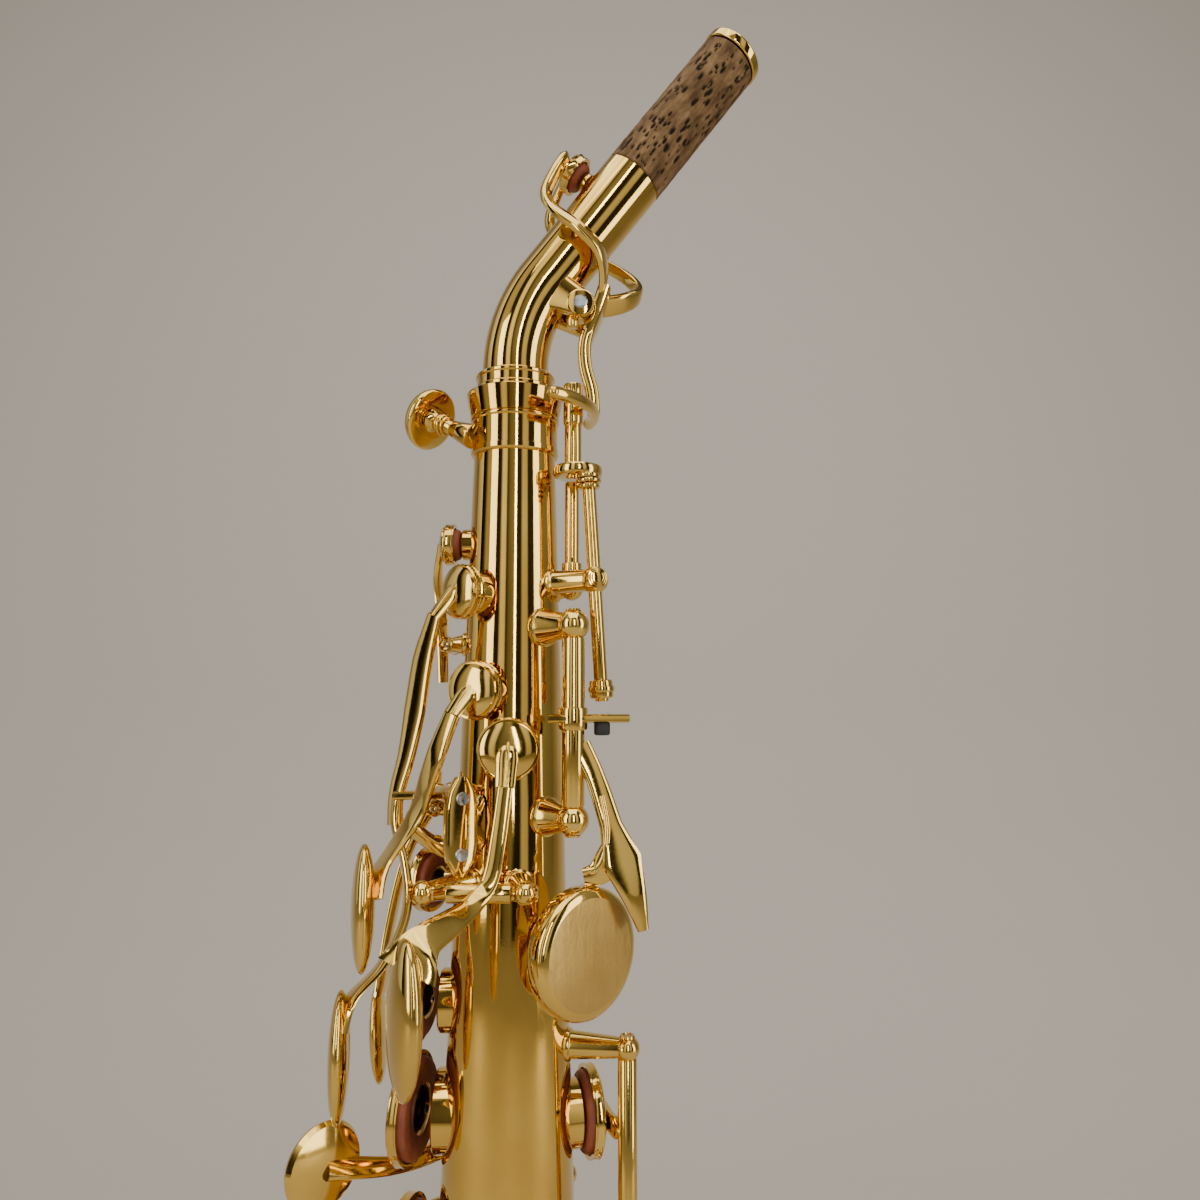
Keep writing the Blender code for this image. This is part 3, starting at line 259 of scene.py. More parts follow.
def finish_piece(bm, name, body, material, nodes=(), crease=35.0):
    """Put the mesh in the frame, shade it, and hand it over to the body that carries it."""
    bmesh.ops.remove_doubles(bm, verts=bm.verts, dist=0.0004)
    bmesh.ops.recalc_face_normals(bm, faces=bm.faces)
    bmesh.ops.transform(bm, matrix=INTO_FRAME, verts=bm.verts)
    piece = place_object(bm, name)
    piece.data.shade_smooth()
    piece.data.set_sharp_from_angle(angle=math.radians(crease))
    piece.data.materials.append(material)
    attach(piece, body)
    if nodes:
        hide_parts(*nodes)
    return piece


def cut_holes(piece, names):
    """Open the tone holes through the wall."""
    bm = bmesh.new()
    for name in names:
        phi, z, pad_r = TONE_HOLES[name]
        start, end = around(phi, 1.5, z), around(phi, outer_radius(z) + CHIMNEY + 3.0, z)
        bar(bm, start, end, pad_r * HOLE_SHARE, sides=40, soften=0.05)
    bmesh.ops.transform(bm, matrix=INTO_FRAME, verts=bm.verts)
    cutter = place_object(bm, "cutter")
    cut = piece.modifiers.new("holes", "BOOLEAN")
    cut.operation = "DIFFERENCE"
    cut.object = cutter
    bpy.context.view_layer.update()
    result = bpy.data.meshes.new_from_object(piece.evaluated_get(bpy.context.evaluated_depsgraph_get()))
    piece.modifiers.clear()
    piece.data = result
    result.shade_smooth()
    result.set_sharp_from_angle(angle=math.radians(35))
    bpy.data.objects.remove(cutter)


def tube_wall(bm, levels, radius_at, steps=96):
    """An open tube with a real wall: outer side down, inner side back up."""
    outer = [(radius_at(z), z) for z in levels]
    inner = [(radius_at(z) - WALL, z) for z in reversed(levels)]
    turn_profile(bm, [*outer, *inner, outer[0]], steps=steps)


body = bmesh.new()
tube_levels = [TUBE_TOP - (TUBE_TOP - BELL_TOP - GAP) * i / 24 for i in range(25)]
tube_wall(body, tube_levels, cone_radius)
body_tube = finish_piece(body, "body_tube_wall", "instrument", GOLD, ["body_tube"])
cut_holes(body_tube, [name for name in TONE_HOLES if name not in BELL_HOLES])


def chimney_ring(bm, name):
    """The chimney's wall, filleted into the tube at its foot and rolled at its rim."""
    phi, z, pad_r = TONE_HOLES[name]
    hole = pad_r * HOLE_SHARE
    place = seat(phi, outer_radius(z), z)
    drop = outer_radius(z) - math.sqrt(outer_radius(z) ** 2 - (hole + WALL) ** 2)
    rim = [(hole, CHIMNEY - 0.3), (hole + 0.25, CHIMNEY), (hole + 0.55, CHIMNEY), (hole + WALL,
                                                                                   CHIMNEY - 0.3)]
    foot = [(hole + WALL, -drop * 0.4), (hole + WALL, -drop - 0.5), (hole, -drop - 0.5), (hole,
                                                                                          CHIMNEY - 0.3)]
    turn_profile(bm, rim + foot, place, steps=40)


chimneys = bmesh.new()
for hole_name in TONE_HOLES:
    if hole_name not in BELL_HOLES:
        chimney_ring(chimneys, hole_name)
finish_piece(chimneys, "tone_hole_chimneys", "instrument", GOLD)


# Posts. Turned brass balls on flared feet, silver-soldered to the tube; each holds the pivot screw of a
# hinge rod, whose slotted end shows in the ball.

STEEL = metal("blued_screw_steel", (0.42, 0.43, 0.46), (0.25, 0.26, 0.29), 0.28, coat=0.0)
posts = bmesh.new()
screws = bmesh.new()


def foot_under(head):
    """Where the line from the body's axis to a post's head meets the tube."""
    flat = Vector((head.x, head.y, 0.0)).normalized() * (outer_radius(head.z) - 0.3)
    return Vector((flat.x, flat.y, head.z))


def post(head, ball_r, foot_r, axis=None):
    """A ball on a straight cone over a small round flange, with a pivot screw on the hinge axis."""
    foot = foot_under(head)
    height = (head - foot).length
    neck_r = ball_r * 0.8
    stem = [(0.0, height), (neck_r, height), (neck_r, height - ball_r * 0.6), (foot_r, 0.9), (foot_r + 0.5,
                                                                                              0.7),
            (foot_r + 0.5, -0.7), (0.0, -0.8)]
    turn_profile(posts, round_profile(stem, 0.2, 2), frame_at(foot, head - foot), steps=28)
    ball(posts, head, ball_r, 28)
    if axis is not None:
        pivot_screw(head, axis, ball_r)


def pivot_screw(head, axis, ball_r):
    """The end of a pivot screw: a collar turned into the ball and a steel end."""
    axis = axis.normalized()
    for way in (-1, 1):
        out = axis * way
        place = frame_at(head + out * (ball_r - 0.35), out, Vector((0.3, 1.0, 0.2)))
        turn_profile(posts, [(0.75, 0.2), (1.1, 0.45), (1.45, 0.4), (1.6, 0.0), (0.75, 0.0), (0.75, 0.2)],
                     place, 20)
        turn_profile(screws, [(0.0, 0.3), (0.6, 0.3), (0.72, 0.15), (0.72, -0.2), (0.0, -0.2)], place, 16)


UP = Vector((0.0, 0.0, 1.0))
placed = set()
for hinge_phi, hinge_r, *ends in HINGES.values():
    for post_z in ends:
        if (hinge_phi, post_z) not in placed:
            post(around(hinge_phi, hinge_r, post_z), 2.5, 2.7, UP)
            placed.add((hinge_phi, post_z))

LEVER_AXIS = Vector((13.3, -13.0, 0.0))
LEVER_POSTS = (471.1, 509.2)
for post_z in LEVER_POSTS:
    post(LEVER_AXIS + UP * post_z, 3.2, 3.6, UP)

SWING_LOW, SWING_TOP = Vector((19.0, -8.1, 494.0)), Vector((16.1, -7.9, 541.5))


def swing_at(z):
    return SWING_LOW.lerp(SWING_TOP, (z - SWING_LOW.z) / (SWING_TOP.z - SWING_LOW.z))


LINK_AXIS = Vector((12.6, -2.4, 0.0))
swing_head, towards_side = swing_at(518.9), Vector((0.25, -1.0, 0.1)).normalized()
post(swing_head, 2.9, 2.4)
for rise, ring_r in ((2.35, 2.15), (2.6, 1.75), (2.85, 1.3)):
    bar(posts, swing_head + towards_side * 1.6, swing_head + towards_side * rise, ring_r, sides=28,
        soften=0.2)
post(LINK_AXIS + UP * 517.6, 2.4, 2.2)

PALM_LINE = Vector((-0.5, 0.866, 0.0))
PALM_PLATE = Vector((-8.3, -15.2, 0.0))
PALM_F_Z, PALM_E_FLAT_Z, PALM_HINGE = 475.5, 464.9, 9.0
PALM_D_HINGE, PALM_D_X = Vector((0.0, -18.0, 458.3)), (-14.8, 4.6)
for post_z in (PALM_F_Z, PALM_E_FLAT_Z):
    post(PALM_PLATE + PALM_LINE * (PALM_HINGE + 3.9) + UP * post_z, 2.0, 2.4, PALM_LINE)
for post_x in PALM_D_X:
    post(PALM_D_HINGE + Vector((post_x, 0.0, 0.0)), 2.3, 2.6, Vector((1.0, 0.0, 0.0)))

OCTAVE_HINGE, FRONT_F_HINGE = Vector((-14.0, 5.0, 506.0)), Vector((-15.6, 3.0, 472.0))
for hinge in (OCTAVE_HINGE, FRONT_F_HINGE):
    for side in (-5.4, 5.4):
        post(hinge + Vector((0.0, side, 0.0)), 1.8, 2.1, Vector((0.0, 1.0, 0.0)))

finish_piece(posts, "key_posts", "instrument", KEY_GOLD)
finish_piece(screws, "pivot_screws", "instrument", STEEL)


# Bell. Spun brass, flared to a rolled rim that the instrument stands on, joined to the tube by a ring.

RIM_R = 2.4


def bell_profile():
    """Outer side down to the rim's roll, then the inner side back up."""
    levels = [BELL_TOP * (1 - i / 40) + 2.6 * i / 40 for i in range(41)]
    outer = [(outer_radius(z) - 0.4 * (z < 8.0), z) for z in levels]
    inner = [(outer_radius(z) - WALL - 0.4 * (z < 8.0), z) for z in reversed(levels)]
    roll = [(BELL_RIM_R - 0.2, 2.2), (BELL_RIM_R, 1.4), (BELL_RIM_R, 0.6), (BELL_RIM_R - 0.4, 0.0),
            (BELL_RIM_R - 1.9, 0.0), (BELL_RIM_R - RIM_R, 0.6), (BELL_RIM_R - RIM_R, 1.6)]
    return [*outer, *roll, *inner, outer[0]]


bell = bmesh.new()
turn_profile(bell, bell_profile(), steps=120)
bell_piece = finish_piece(bell, "bell_flare", "instrument", GOLD, ["bell"])
cut_holes(bell_piece, BELL_HOLES)

bell_chimneys = bmesh.new()
for hole_name in BELL_HOLES:
    chimney_ring(bell_chimneys, hole_name)
finish_piece(bell_chimneys, "bell_chimneys", "instrument", GOLD)

joint_ring = bmesh.new()
ring_in = cone_radius(BELL_TOP - 2.0) + GAP
ring_low, ring_high = BELL_TOP - 2.0, BELL_TOP + 2.6
ring_shape = [(ring_in, ring_high), (ring_in + 0.5, ring_high), (ring_in + 1.1, ring_high - 0.7),
              (ring_in + 0.7, ring_high - 1.5), (ring_in + 0.7, ring_low + 1.5), (ring_in + 1.1,
                                                                                  ring_low + 0.7),
              (ring_in + 0.5, ring_low), (ring_in, ring_low), (ring_in, ring_high)]
turn_profile(joint_ring, round_profile(ring_shape, 0.4), steps=96)
finish_piece(joint_ring, "bell_ring", "instrument", KEY_GOLD, ["bell_joint_ring"])


# Neck receiver. A turned socket with a split clamp ring; its screw has a mushroom head with a coined
# edge and goes into a conical lug.

SCREW_LUG = Vector((-10.9, -5.0, 551.0))
SCREW_DIRECTION = Vector((-0.78, 0.45, 0.43)).normalized()
SOCKET_R = 7.95

receiver = bmesh.new()
socket = [(SOCKET_R, 560.4), (10.3, 560.4), (10.55, 560.15), (9.6, 555.1), (9.35, 554.9), (9.6, 554.7),
          (9.65, 554.4),
          (9.55, 554.1), (9.3, 553.9), (9.3, 548.2), (9.5, 548.1), (9.5, 547.0), (9.2, 546.6), (SOCKET_R,
                                                                                                546.8),
          (SOCKET_R, 560.4)]
turn_profile(receiver, socket, steps=80)
bar(receiver, SCREW_LUG - SCREW_DIRECTION * 3.4, SCREW_LUG + SCREW_DIRECTION * 2.2, 2.7, 1.9)
finish_piece(receiver, "neck_socket", "instrument", GOLD, ["neck_receiver"])

clamp_screw = bmesh.new()
screw_start = SCREW_LUG + SCREW_DIRECTION * (2.2 + GAP)
head_place = frame_at(screw_start + SCREW_DIRECTION * 6.0, SCREW_DIRECTION, Vector((0.0, 1.0, 0.0)))
cap = [(0.0, 4.7), (2.0, 4.6), (3.7, 4.2), (5.0, 3.6), (6.0, 2.7), (6.55, 1.8), (6.75, 1.0), (6.7, 0.5),
       (6.4, 0.15),
       (5.8, 0.0), (2.6, 0.1), (2.0, -0.4), (1.7, -1.2), (0.0, -1.2)]
turn_profile(clamp_screw, cap, head_place, steps=96)
for i in range(64):
    nick = head_place @ Matrix.Rotation(math.tau * i / 64, 4, "Z")
    bar(clamp_screw, nick @ Vector((6.66, 0, 0.5)), nick @ Vector((6.05, 0, 2.4)), 0.15, sides=6, soften=0.04)
bar(clamp_screw, screw_start, head_place.translation, 1.5)
for reach, bead_r in ((1.6, 2.1), (2.5, 2.4), (3.4, 2.1)):
    bead = screw_start + SCREW_DIRECTION * reach
    bar(clamp_screw, bead, bead + SCREW_DIRECTION * 0.9, bead_r, sides=28, soften=0.4)
finish_piece(clamp_screw, "neck_clamp_screw", "neck_screw", KEY_GOLD, ["neck_screw"])


# Neck. A bent brass tube with a flange that seats on the socket, an octave vent on the outer side of
# the bend, and two lugs under it for the octave key's hinge.

NECK_FLANGE_Z, NECK_BEND_Z, NECK_ANGLE = 560.7, 566.0, math.radians(37.8)
CORK_START, CORK_LENGTH, TIP_RING = Vector((25.8, 0.0, 610.8)), 36.2, 2.3
NECK_R, CORK_R = (7.25, 6.95), 6.95
NECK_WALL = 0.7
NECK_HINGE = Vector((14.4, 0.0, 579.4))
along_neck = Vector((math.sin(NECK_ANGLE), 0.0, math.cos(NECK_ANGLE)))
neck_rise = CORK_START.z - NECK_BEND_Z - CORK_START.x / math.tan(NECK_ANGLE)
neck_bend = neck_rise / (math.sin(NECK_ANGLE) - (1 - math.cos(NECK_ANGLE)) / math.tan(NECK_ANGLE))


def neck_point(turn):
    return Vector((neck_bend * (1 - math.cos(turn)), 0.0, NECK_BEND_Z + neck_bend * math.sin(turn)))


def section(bm, centre, along, face, width, thick, squareness, segments=16, cap=False):
    """One ring of a loft: an oval, or a rectangle with round corners when squareness is near 1."""
    side = along.cross(face).normalized()
    out = side.cross(along).normalized()
    made = bmesh.ops.create_circle(bm, cap_ends=cap, segments=segments, radius=1.0)
    power = 1.0 - squareness
    for vert in made["verts"]:
        x = math.copysign(abs(vert.co.x) ** power, vert.co.x) * width / 2
        y = math.copysign(abs(vert.co.y) ** power, vert.co.y) * thick / 2
        vert.co = centre + side * x + out * y
    loop = set(made["verts"])
    return [e for v in loop for e in v.link_edges if e.other_vert(v) in loop]


def loft(bm, path, widths, thicks, face=None, squareness=0.45, segments=16):
    """Join rings along a path. The face of a flat arm looks away from the body's axis."""
    last = None
    for i, centre in enumerate(path):
        along = (path[min(i + 1, len(path) - 1)] - path[max(i - 1, 0)]).normalized()
        out = face or Vector((centre.x, centre.y, 0.0))
        share = i / (len(path) - 1)
        width, thick = between(widths, share), between(thicks, share)
        cap = i in (0, len(path) - 1)
        ring = section(bm, centre, along, out, width, thick, squareness, segments, cap)
        if last:
            bmesh.ops.bridge_loops(bm, edges=list(set(last + ring)))
        last = ring


def between(values, share):
    """The value at a share of the way along evenly spaced values."""
    place = share * (len(values) - 1)
    low = min(int(place), len(values) - 2)
    return values[low] + (values[low + 1] - values[low]) * (place - low)


def smooth_path(points, per_span=6):
    """A Catmull-Rom path through the points."""
    ends = [2 * points[0] - points[1], *points, 2 * points[-1] - points[-2]]
    path = []
    for a, b, c, d in zip(ends, ends[1:], ends[2:], ends[3:]):
        for step in range(per_span):
            t = step / per_span
            path.append(b + 0.5 * ((c - a) * t + (2 * a - 5 * b + 4 * c - d) * t**2 + (3 * b - a - 3 * c + d) * t**3))
    return [*path, points[-1]]


def neck_seat():
    out = Vector((-along_neck.z, 0.0, along_neck.x))
    return frame_at(CORK_START - along_neck * 7.0 + out * (NECK_R[1] + 1.5), out, Vector((0.0, 1.0, 0.0)))


neck = bmesh.new()
tip = CORK_START + along_neck * (CORK_LENGTH + TIP_RING + GAP)
neck_line = [UP * (NECK_FLANGE_Z - 11.0), UP * NECK_FLANGE_Z,
             *(neck_point(NECK_ANGLE * i / 28) for i in range(29))]
neck_line += [CORK_START - along_neck * 4.0, CORK_START]
across = Vector((0.0, 1.0, 0.0))
loft(neck, neck_line, [2 * NECK_R[0], 2 * NECK_R[1]], [2 * NECK_R[0], 2 * NECK_R[1]], across, 0.0, 64)
flange = [(6.4, 564.7), (8.3, 564.7), (8.6, 564.4), (8.65, 563.9), (8.4, 563.6), (8.4, 561.9), (8.7, 561.6),
          (8.7, 561.0), (8.4, NECK_FLANGE_Z), (6.4, NECK_FLANGE_Z)]
turn_profile(neck, flange, steps=72)
tip_place = frame_at(CORK_START - along_neck * 2.0, along_neck, across)
reach = (tip - CORK_START).length + 2.0
turn_profile(neck, [(6.0, 0.0), (5.4, reach), (4.65, reach), (4.65, 3.0)], tip_place, steps=64)
vent = neck_seat()
turn_profile(neck, [(0.9, -3.4), (0.9, 0.0), (2.0, 0.0), (2.2, -0.3), (2.3, -1.2), (3.2, -2.2), (3.2,
                                                                                                 -3.4)], vent, 32)
for side in (-1, 1):
    eye = NECK_HINGE + Vector((0.0, side * 5.2, 0.0))
    bar(neck, eye - across * 1.3, eye + across * 1.3, 3.0, sides=28, soften=0.4)
    foot = Vector((7.4, side * 4.2, 583.6))
    loft(neck, smooth_path([foot, (foot + eye) / 2, eye], 4), [10.0, 8.0, 6.4], [2.4, 2.4], across)
finish_piece(neck, "neck_pipe", "neck", GOLD, ["neck_tube"])
neck_screws = bmesh.new()
for side in (-1, 1):
    place = frame_at(NECK_HINGE + across * side * 6.5, across * side, UP)
    turn_profile(neck_screws, [(0.0, 0.35), (1.2, 0.35), (1.5, 0.1), (1.5, -0.4), (0.0, -0.4)], place, 24)
finish_piece(neck_screws, "neck_key_screws", "neck", STEEL)


# Neck cork. A sheet of natural cork glued round the pipe and sanded, with dark lens-shaped pits, and a
# brass ring that guards its end.


def press_pits(bm, place, length, radius, count, seed):
    """Press elongated pits into a turned cylinder, and note how deep each vertex lies in one."""
    draw = random.Random(seed)
    pits = [(draw.uniform(0, math.tau), draw.uniform(0.5, length - 0.5), draw.uniform(0.3, 0.66) ** 2 * 1.5)
            for _ in range(count)]
    inverse = place.inverted()
    depth = bm.verts.layers.float.new("pit")
    for vert in bm.verts:
        local = inverse @ vert.co
        angle, r = math.atan2(local.y, local.x) % math.tau, local.xy.length
        if r < radius - 0.4:
            continue
        sunk = 0.0
        for pit_angle, pit_z, size in pits:
            if abs(local.z - pit_z) < size * 2.2:
                apart = abs((angle - pit_angle + math.pi) % math.tau - math.pi) * radius
                near = 1.0 - math.hypot(apart / size, (local.z - pit_z) / (size * 2.2))
                sunk = max(sunk, min(1.0, near * 2.6))
        grain = noise.noise(Vector((local.x * 1.3, local.y * 1.3, local.z * 0.5))) * 0.08
        vert.co -= (place.to_3x3() @ Vector((local.x, local.y,
                                             0.0)).normalized()) * (sunk * 0.36 + 0.05 + grain)
        vert[depth] = sunk


cork = bmesh.new()
cork_place = frame_at(CORK_START + along_neck * GAP, along_neck, across)
cork_end = CORK_LENGTH - 2 * GAP
cork_rows = [(CORK_R - 0.15 * i / 130, cork_end * i / 130) for i in range(130, -1, -1)]
turn_profile(cork, [(6.4, cork_end), (CORK_R - 0.4, cork_end), *cork_rows[1:-1], (CORK_R - 0.3, 0.0), (6.4,
                                                                                                       0.0),
                    (6.4, cork_end)], cork_place, steps=190)
bmesh.ops.remove_doubles(cork, verts=cork.verts, dist=0.0004)
press_pits(cork, cork_place, cork_end, CORK_R, 420, 11)


def cork_material():
    """Brown bark with streaks along the neck, and near-black pits."""
    made, tree, shader, place = new_material("natural_cork")
    turn = add_node(tree, "Mapping", {"Vector": place, "Rotation": (0.0, -NECK_ANGLE, 0.0)}).outputs["Vector"]
    stretch = add_node(tree, "Mapping", {"Vector": turn, "Scale": (1.0, 1.0, 0.3)}).outputs["Vector"]
    streaks = {"Vector": stretch, "Scale": 520.0, "Detail": 8.0, "Roughness": 0.65}
    clouds = add_node(tree, "TexNoise", streaks).outputs["Fac"]
    grain = add_node(tree, "TexNoise", {"Vector": place, "Scale": 2200.0}).outputs["Fac"]
    stops = [(0.34, (0.075, 0.038, 0.015)), (0.52, (0.17, 0.098, 0.042)), (0.70, (0.30, 0.185, 0.088))]
    pit = add_node(tree, "Attribute", {}, attribute_name="pit").outputs["Fac"]
    colours = {"Factor": pit, "A": colour_ramp(tree, clouds, stops), "B": (0.012, 0.007, 0.004, 1)}
    dark = add_node(tree, "Mix", colours, data_type="RGBA").outputs["Result"]
    feed(tree, shader, {"Roughness": 0.85, "Specular IOR Level": 0.2, "Base Color": dark,
                        "Normal": bumped(tree, grain, 0.5)})
    return made


finish_piece(cork, "neck_cork_sleeve", "neck", cork_material(), ["neck_cork"], crease=60)

tip_ring = bmesh.new()
ring_place = frame_at(CORK_START + along_neck * CORK_LENGTH, along_neck, across)
turn_profile(tip_ring, round_profile([(5.6, TIP_RING), (6.7, TIP_RING), (7.0, TIP_RING - 0.4), (7.0, 0.2),
                                      (6.8, 0.0),
                                      (5.6, 0.0), (5.6, TIP_RING)], 0.2), ring_place, steps=72)
finish_piece(tip_ring, "neck_end_ring", "neck", GOLD, ["neck_tip_ring"])


# Cups and pads. A domed brass cup holds a felt pad in red-brown leather; a riveted metal dome in its
# middle reflects the sound.

PAD_THICK, CUP_DOME, CUP_LIP = 2.6, 1.7, 0.7
CUP_ROOF = 2 * GAP + PAD_THICK


def leather_material():
    """Smooth kid leather, finely pored, worn darker in clouds."""
    made, tree, shader, place = new_material("pad_kid_leather")
    clouds = add_node(tree, "TexNoise", {"Vector": place, "Scale": 190.0, "Detail": 5.0}).outputs["Fac"]
    pores = add_node(tree, "TexVoronoi", {"Vector": place, "Scale": 2600.0}).outputs["Distance"]
    feed(tree, shader, {
        "Specular IOR Level": 0.35,
        "Base Color": mixed(tree, spread(tree, clouds, 0.0, 1.0), (0.16, 0.038, 0.018), (0.34, 0.095, 0.045)),
        "Roughness": spread(tree, clouds, 0.62, 0.45),
        "Normal": bumped(tree, pores, 0.25, 0.0001)})
    return made


LEATHER = leather_material()
RESONATOR = metal("resonator_metal", (0.80, 0.66, 0.40), (0.66, 0.52, 0.30), 0.16)


def hole_seat(name):
    phi, z, _ = TONE_HOLES[name]
    return seat(phi, outer_radius(z) + CHIMNEY, z)


def cup(bm, place, pad_r):
    """A domed cup with a beaded edge, hollow for its pad."""
    inner = pad_r + GAP
    outer = inner + CUP_LIP
    top = CUP_ROOF + CUP_DOME
    dome = [(outer * share, top - CUP_DOME * 0.75 * share**3) for share in (0.0, 0.25, 0.45, 0.6, 0.72,
                                                                            0.82, 0.9)]
    edge = [(outer - 0.5, CUP_ROOF + 0.55), (outer - 0.4, CUP_ROOF + 0.3), (outer - 0.1, CUP_ROOF + 0.4),
            (outer + 0.15, CUP_ROOF + 0.1), (outer, CUP_ROOF - 0.3), (outer, CUP_ROOF - 1.2),
            (outer + 0.12, CUP_ROOF - 1.35), (outer + 0.1, CUP_ROOF - 1.65), (inner, CUP_ROOF - 1.6)]
    turn_profile(bm, [*dome, *edge, (inner, CUP_ROOF), (0.0, CUP_ROOF)], place, steps=48)


RESONATOR_SHARE = 0.5


def fit_pad(name, place, pad_r, body_name, swing=None, node=None):
    """The pad, bulging past the cup's lip, and the dome riveted to its face."""
    leather = bmesh.new()
    bulge = [(0.0, GAP + PAD_THICK), (pad_r * 0.9, GAP + PAD_THICK), (pad_r, GAP + PAD_THICK - 0.4)]
    bulge += [(pad_r - 0.8 * (1 - math.cos(a)), GAP + 1.1 - 1.1 * math.sin(a)) for a in (0.0, 0.4, 0.8, 1.2,
                                                                                         1.5)]
    bulge += [(pad_r * 0.62, GAP), (pad_r * 0.55, GAP + 0.15), (0.0, GAP + 0.2)]
    turn_profile(leather, bulge, place, steps=56)
    if swing:
        bmesh.ops.transform(leather, matrix=swing, verts=leather.verts)
    finish_piece(leather, name + "_leather", body_name, LEATHER, [node] if node else ())
    if pad_r < 4:
        return
    dome = bmesh.new()
    r = pad_r * RESONATOR_SHARE
    turn_profile(dome, [(0.0, -0.9), (r * 0.16, -0.85), (r * 0.2, -0.55), (r * 0.5, -0.42), (r * 0.8, -0.15),
                        (r, GAP - 0.1), (r, GAP + 0.15), (0.0, GAP + 0.15)], place, steps=40)
    if swing:
        bmesh.ops.transform(dome, matrix=swing, verts=dome.verts)
    finish_piece(dome, name + "_resonator", body_name, RESONATOR)


def hole_cup(bm, name):
    cup(bm, hole_seat(name), TONE_HOLES[name][2])


def hole_pad(hole, body_name, swing=None):
    """The pad over a tone hole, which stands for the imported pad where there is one."""
    node = body_name + "_pad" if body_name + "_pad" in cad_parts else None
    fit_pad(body_name, hole_seat(hole), TONE_HOLES[hole][2], body_name, swing, node)


def hinge_tube(bm, start, end, r=1.9):
    """A key's hinge tube."""
    bar(bm, start, end, r, sides=32, soften=0.15)


def lens(bm, place, width, height, thick):
    """An oval touch, rounded at its edge and swelling to the middle."""
    rounded = Matrix.Diagonal((width / 2, height / 2, thick / 2, 1.0))
    bmesh.ops.create_uvsphere(bm, u_segments=40, v_segments=22, radius=1.0, matrix=place @ rounded)


def arm(bm, points, widths, thick=1.7, face=None, squareness=0.4):
    loft(bm, smooth_path([Vector(point) for point in points]), widths, [thick, thick], face, squareness)


# Neck octave key. One casting: a yoke that wraps the neck, the vent's cup, a hinge and a curved finger
# that rests on the octave pin through the receiver's top.

RING_Z, RING_R = 556.4, (16.1, 18.5)
neck_key = bmesh.new()
roof = CUP_ROOF + CUP_DOME
cup(neck_key, vent, 3.4)
crown = vent @ Vector((0, 0, roof + 0.2))
arm(neck_key, [crown, vent @ Vector((0.0, -3.6, roof + 0.4)), (6.9, -6.2, 604.6), (8.6, -9.2, 599.0),
               (14.0, -9.6, 594.4), (18.4, -7.4, 590.4), (19.4, -3.6, 586.2),
               (18.2, 0.0, 581.6)], [3.2, 2.8, 2.8, 3.4, 3.6, 4.6, 6.4], 1.8)
arm(neck_key, [crown, vent @ Vector((0.0, 3.6, roof + 0.4)), (6.9, 6.6, 604.8), (10.6, 9.8, 600.0),
               (18.0, 10.0, 596.6), (25.2, 8.6, 591.4), (27.4, 5.6, 586.4),
               (24.0, 2.4, 583.0), (18.2, 0.4, 581.0)], [3.2, 2.6, 2.6, 2.6, 3.2, 4.6, 5.0], 1.8)
arm(neck_key, [(19.6, 0.0, 584.4), (17.6, 0.0, 578.6), (15.4, -0.6, 572.6),
               (15.4, -1.0, 566.8), (16.8, -0.8, 561.2), (17.2, -0.6, 556.4)],
    [9.0, 7.2, 4.4, 3.6, 3.8, 4.0], 3.0, across.cross(UP), 0.55)
ring_middle, ring_width = sum(RING_R) / 2, RING_R[1] - RING_R[0]
loft(neck_key, [around(32 + 80 * i / 32, ring_middle, RING_Z) for i in range(33)], [2.8, 2.8],
     [ring_width] * 2,
     squareness=0.15)
for turn in (32, 112):
    ball(neck_key, around(turn, ring_middle, RING_Z), 1.35)
hinge_tube(neck_key, NECK_HINGE - across * 3.5, NECK_HINGE + across * 3.5, 2.0)
bar(neck_key, NECK_HINGE, Vector((18.4, 0.0, 580.8)), 1.7)
finish_piece(neck_key, "neck_key", "neck_octave", KEY_GOLD, ["neck_octave_key"])
neck_stop = bmesh.new()
bar(neck_stop, Vector((12.6, -3.4, 577.2)), Vector((12.6, -3.4, 574.8)), 1.3)
finish_piece(neck_stop, "neck_key_stop", "neck_octave", KEY_GOLD)
fit_pad("neck_octave", vent, 3.4, "neck_octave", node="neck_octave_pad")


# Octave mechanism. A thumb lever on its own hinge tube turns a slim rod whose disc carries the upright
# pin; a second rod behind it works the body vent.

swing = bmesh.new()
bar(swing, SWING_LOW, SWING_TOP, 1.4)
bar(swing, swing_at(494.6), swing_at(498.4), 2.4, soften=0.5)
bar(swing, swing_at(495.8), swing_at(497.2), 2.7, soften=0.4)
for low_z, high_z, collar_r in ((538.0, 538.9, 2.3), (539.1, 540.0, 2.7), (540.2, 541.2, 2.4)):
    bar(swing, swing_at(low_z), swing_at(high_z), collar_r, soften=0.35)
disc = Vector((13.9, -5.4, 0.0))
bar(swing, disc + UP * 541.0, disc + UP * 543.4, 5.2, sides=56, soften=0.7)
pin = Vector((12.8, -3.0, 0.0))
bar(swing, pin + UP * 543.0, pin + UP * 553.4, 1.8)
bar(swing, pin + UP * 553.0, pin + UP * 562.2, 2.1, soften=0.5)
finish_piece(swing, "octave_swing", "octave_swing_rod", KEY_GOLD, ["octave_swing_rod"])

link = bmesh.new()
bar(link, LINK_AXIS + UP * 520.8, LINK_AXIS + UP * 540.6, 1.5)
bar(link, LINK_AXIS + UP * 520.8, LINK_AXIS + UP * 523.2, 2.1)
finish_piece(link, "octave_link", "octave_link_rod", KEY_GOLD, ["octave_link_rod"])

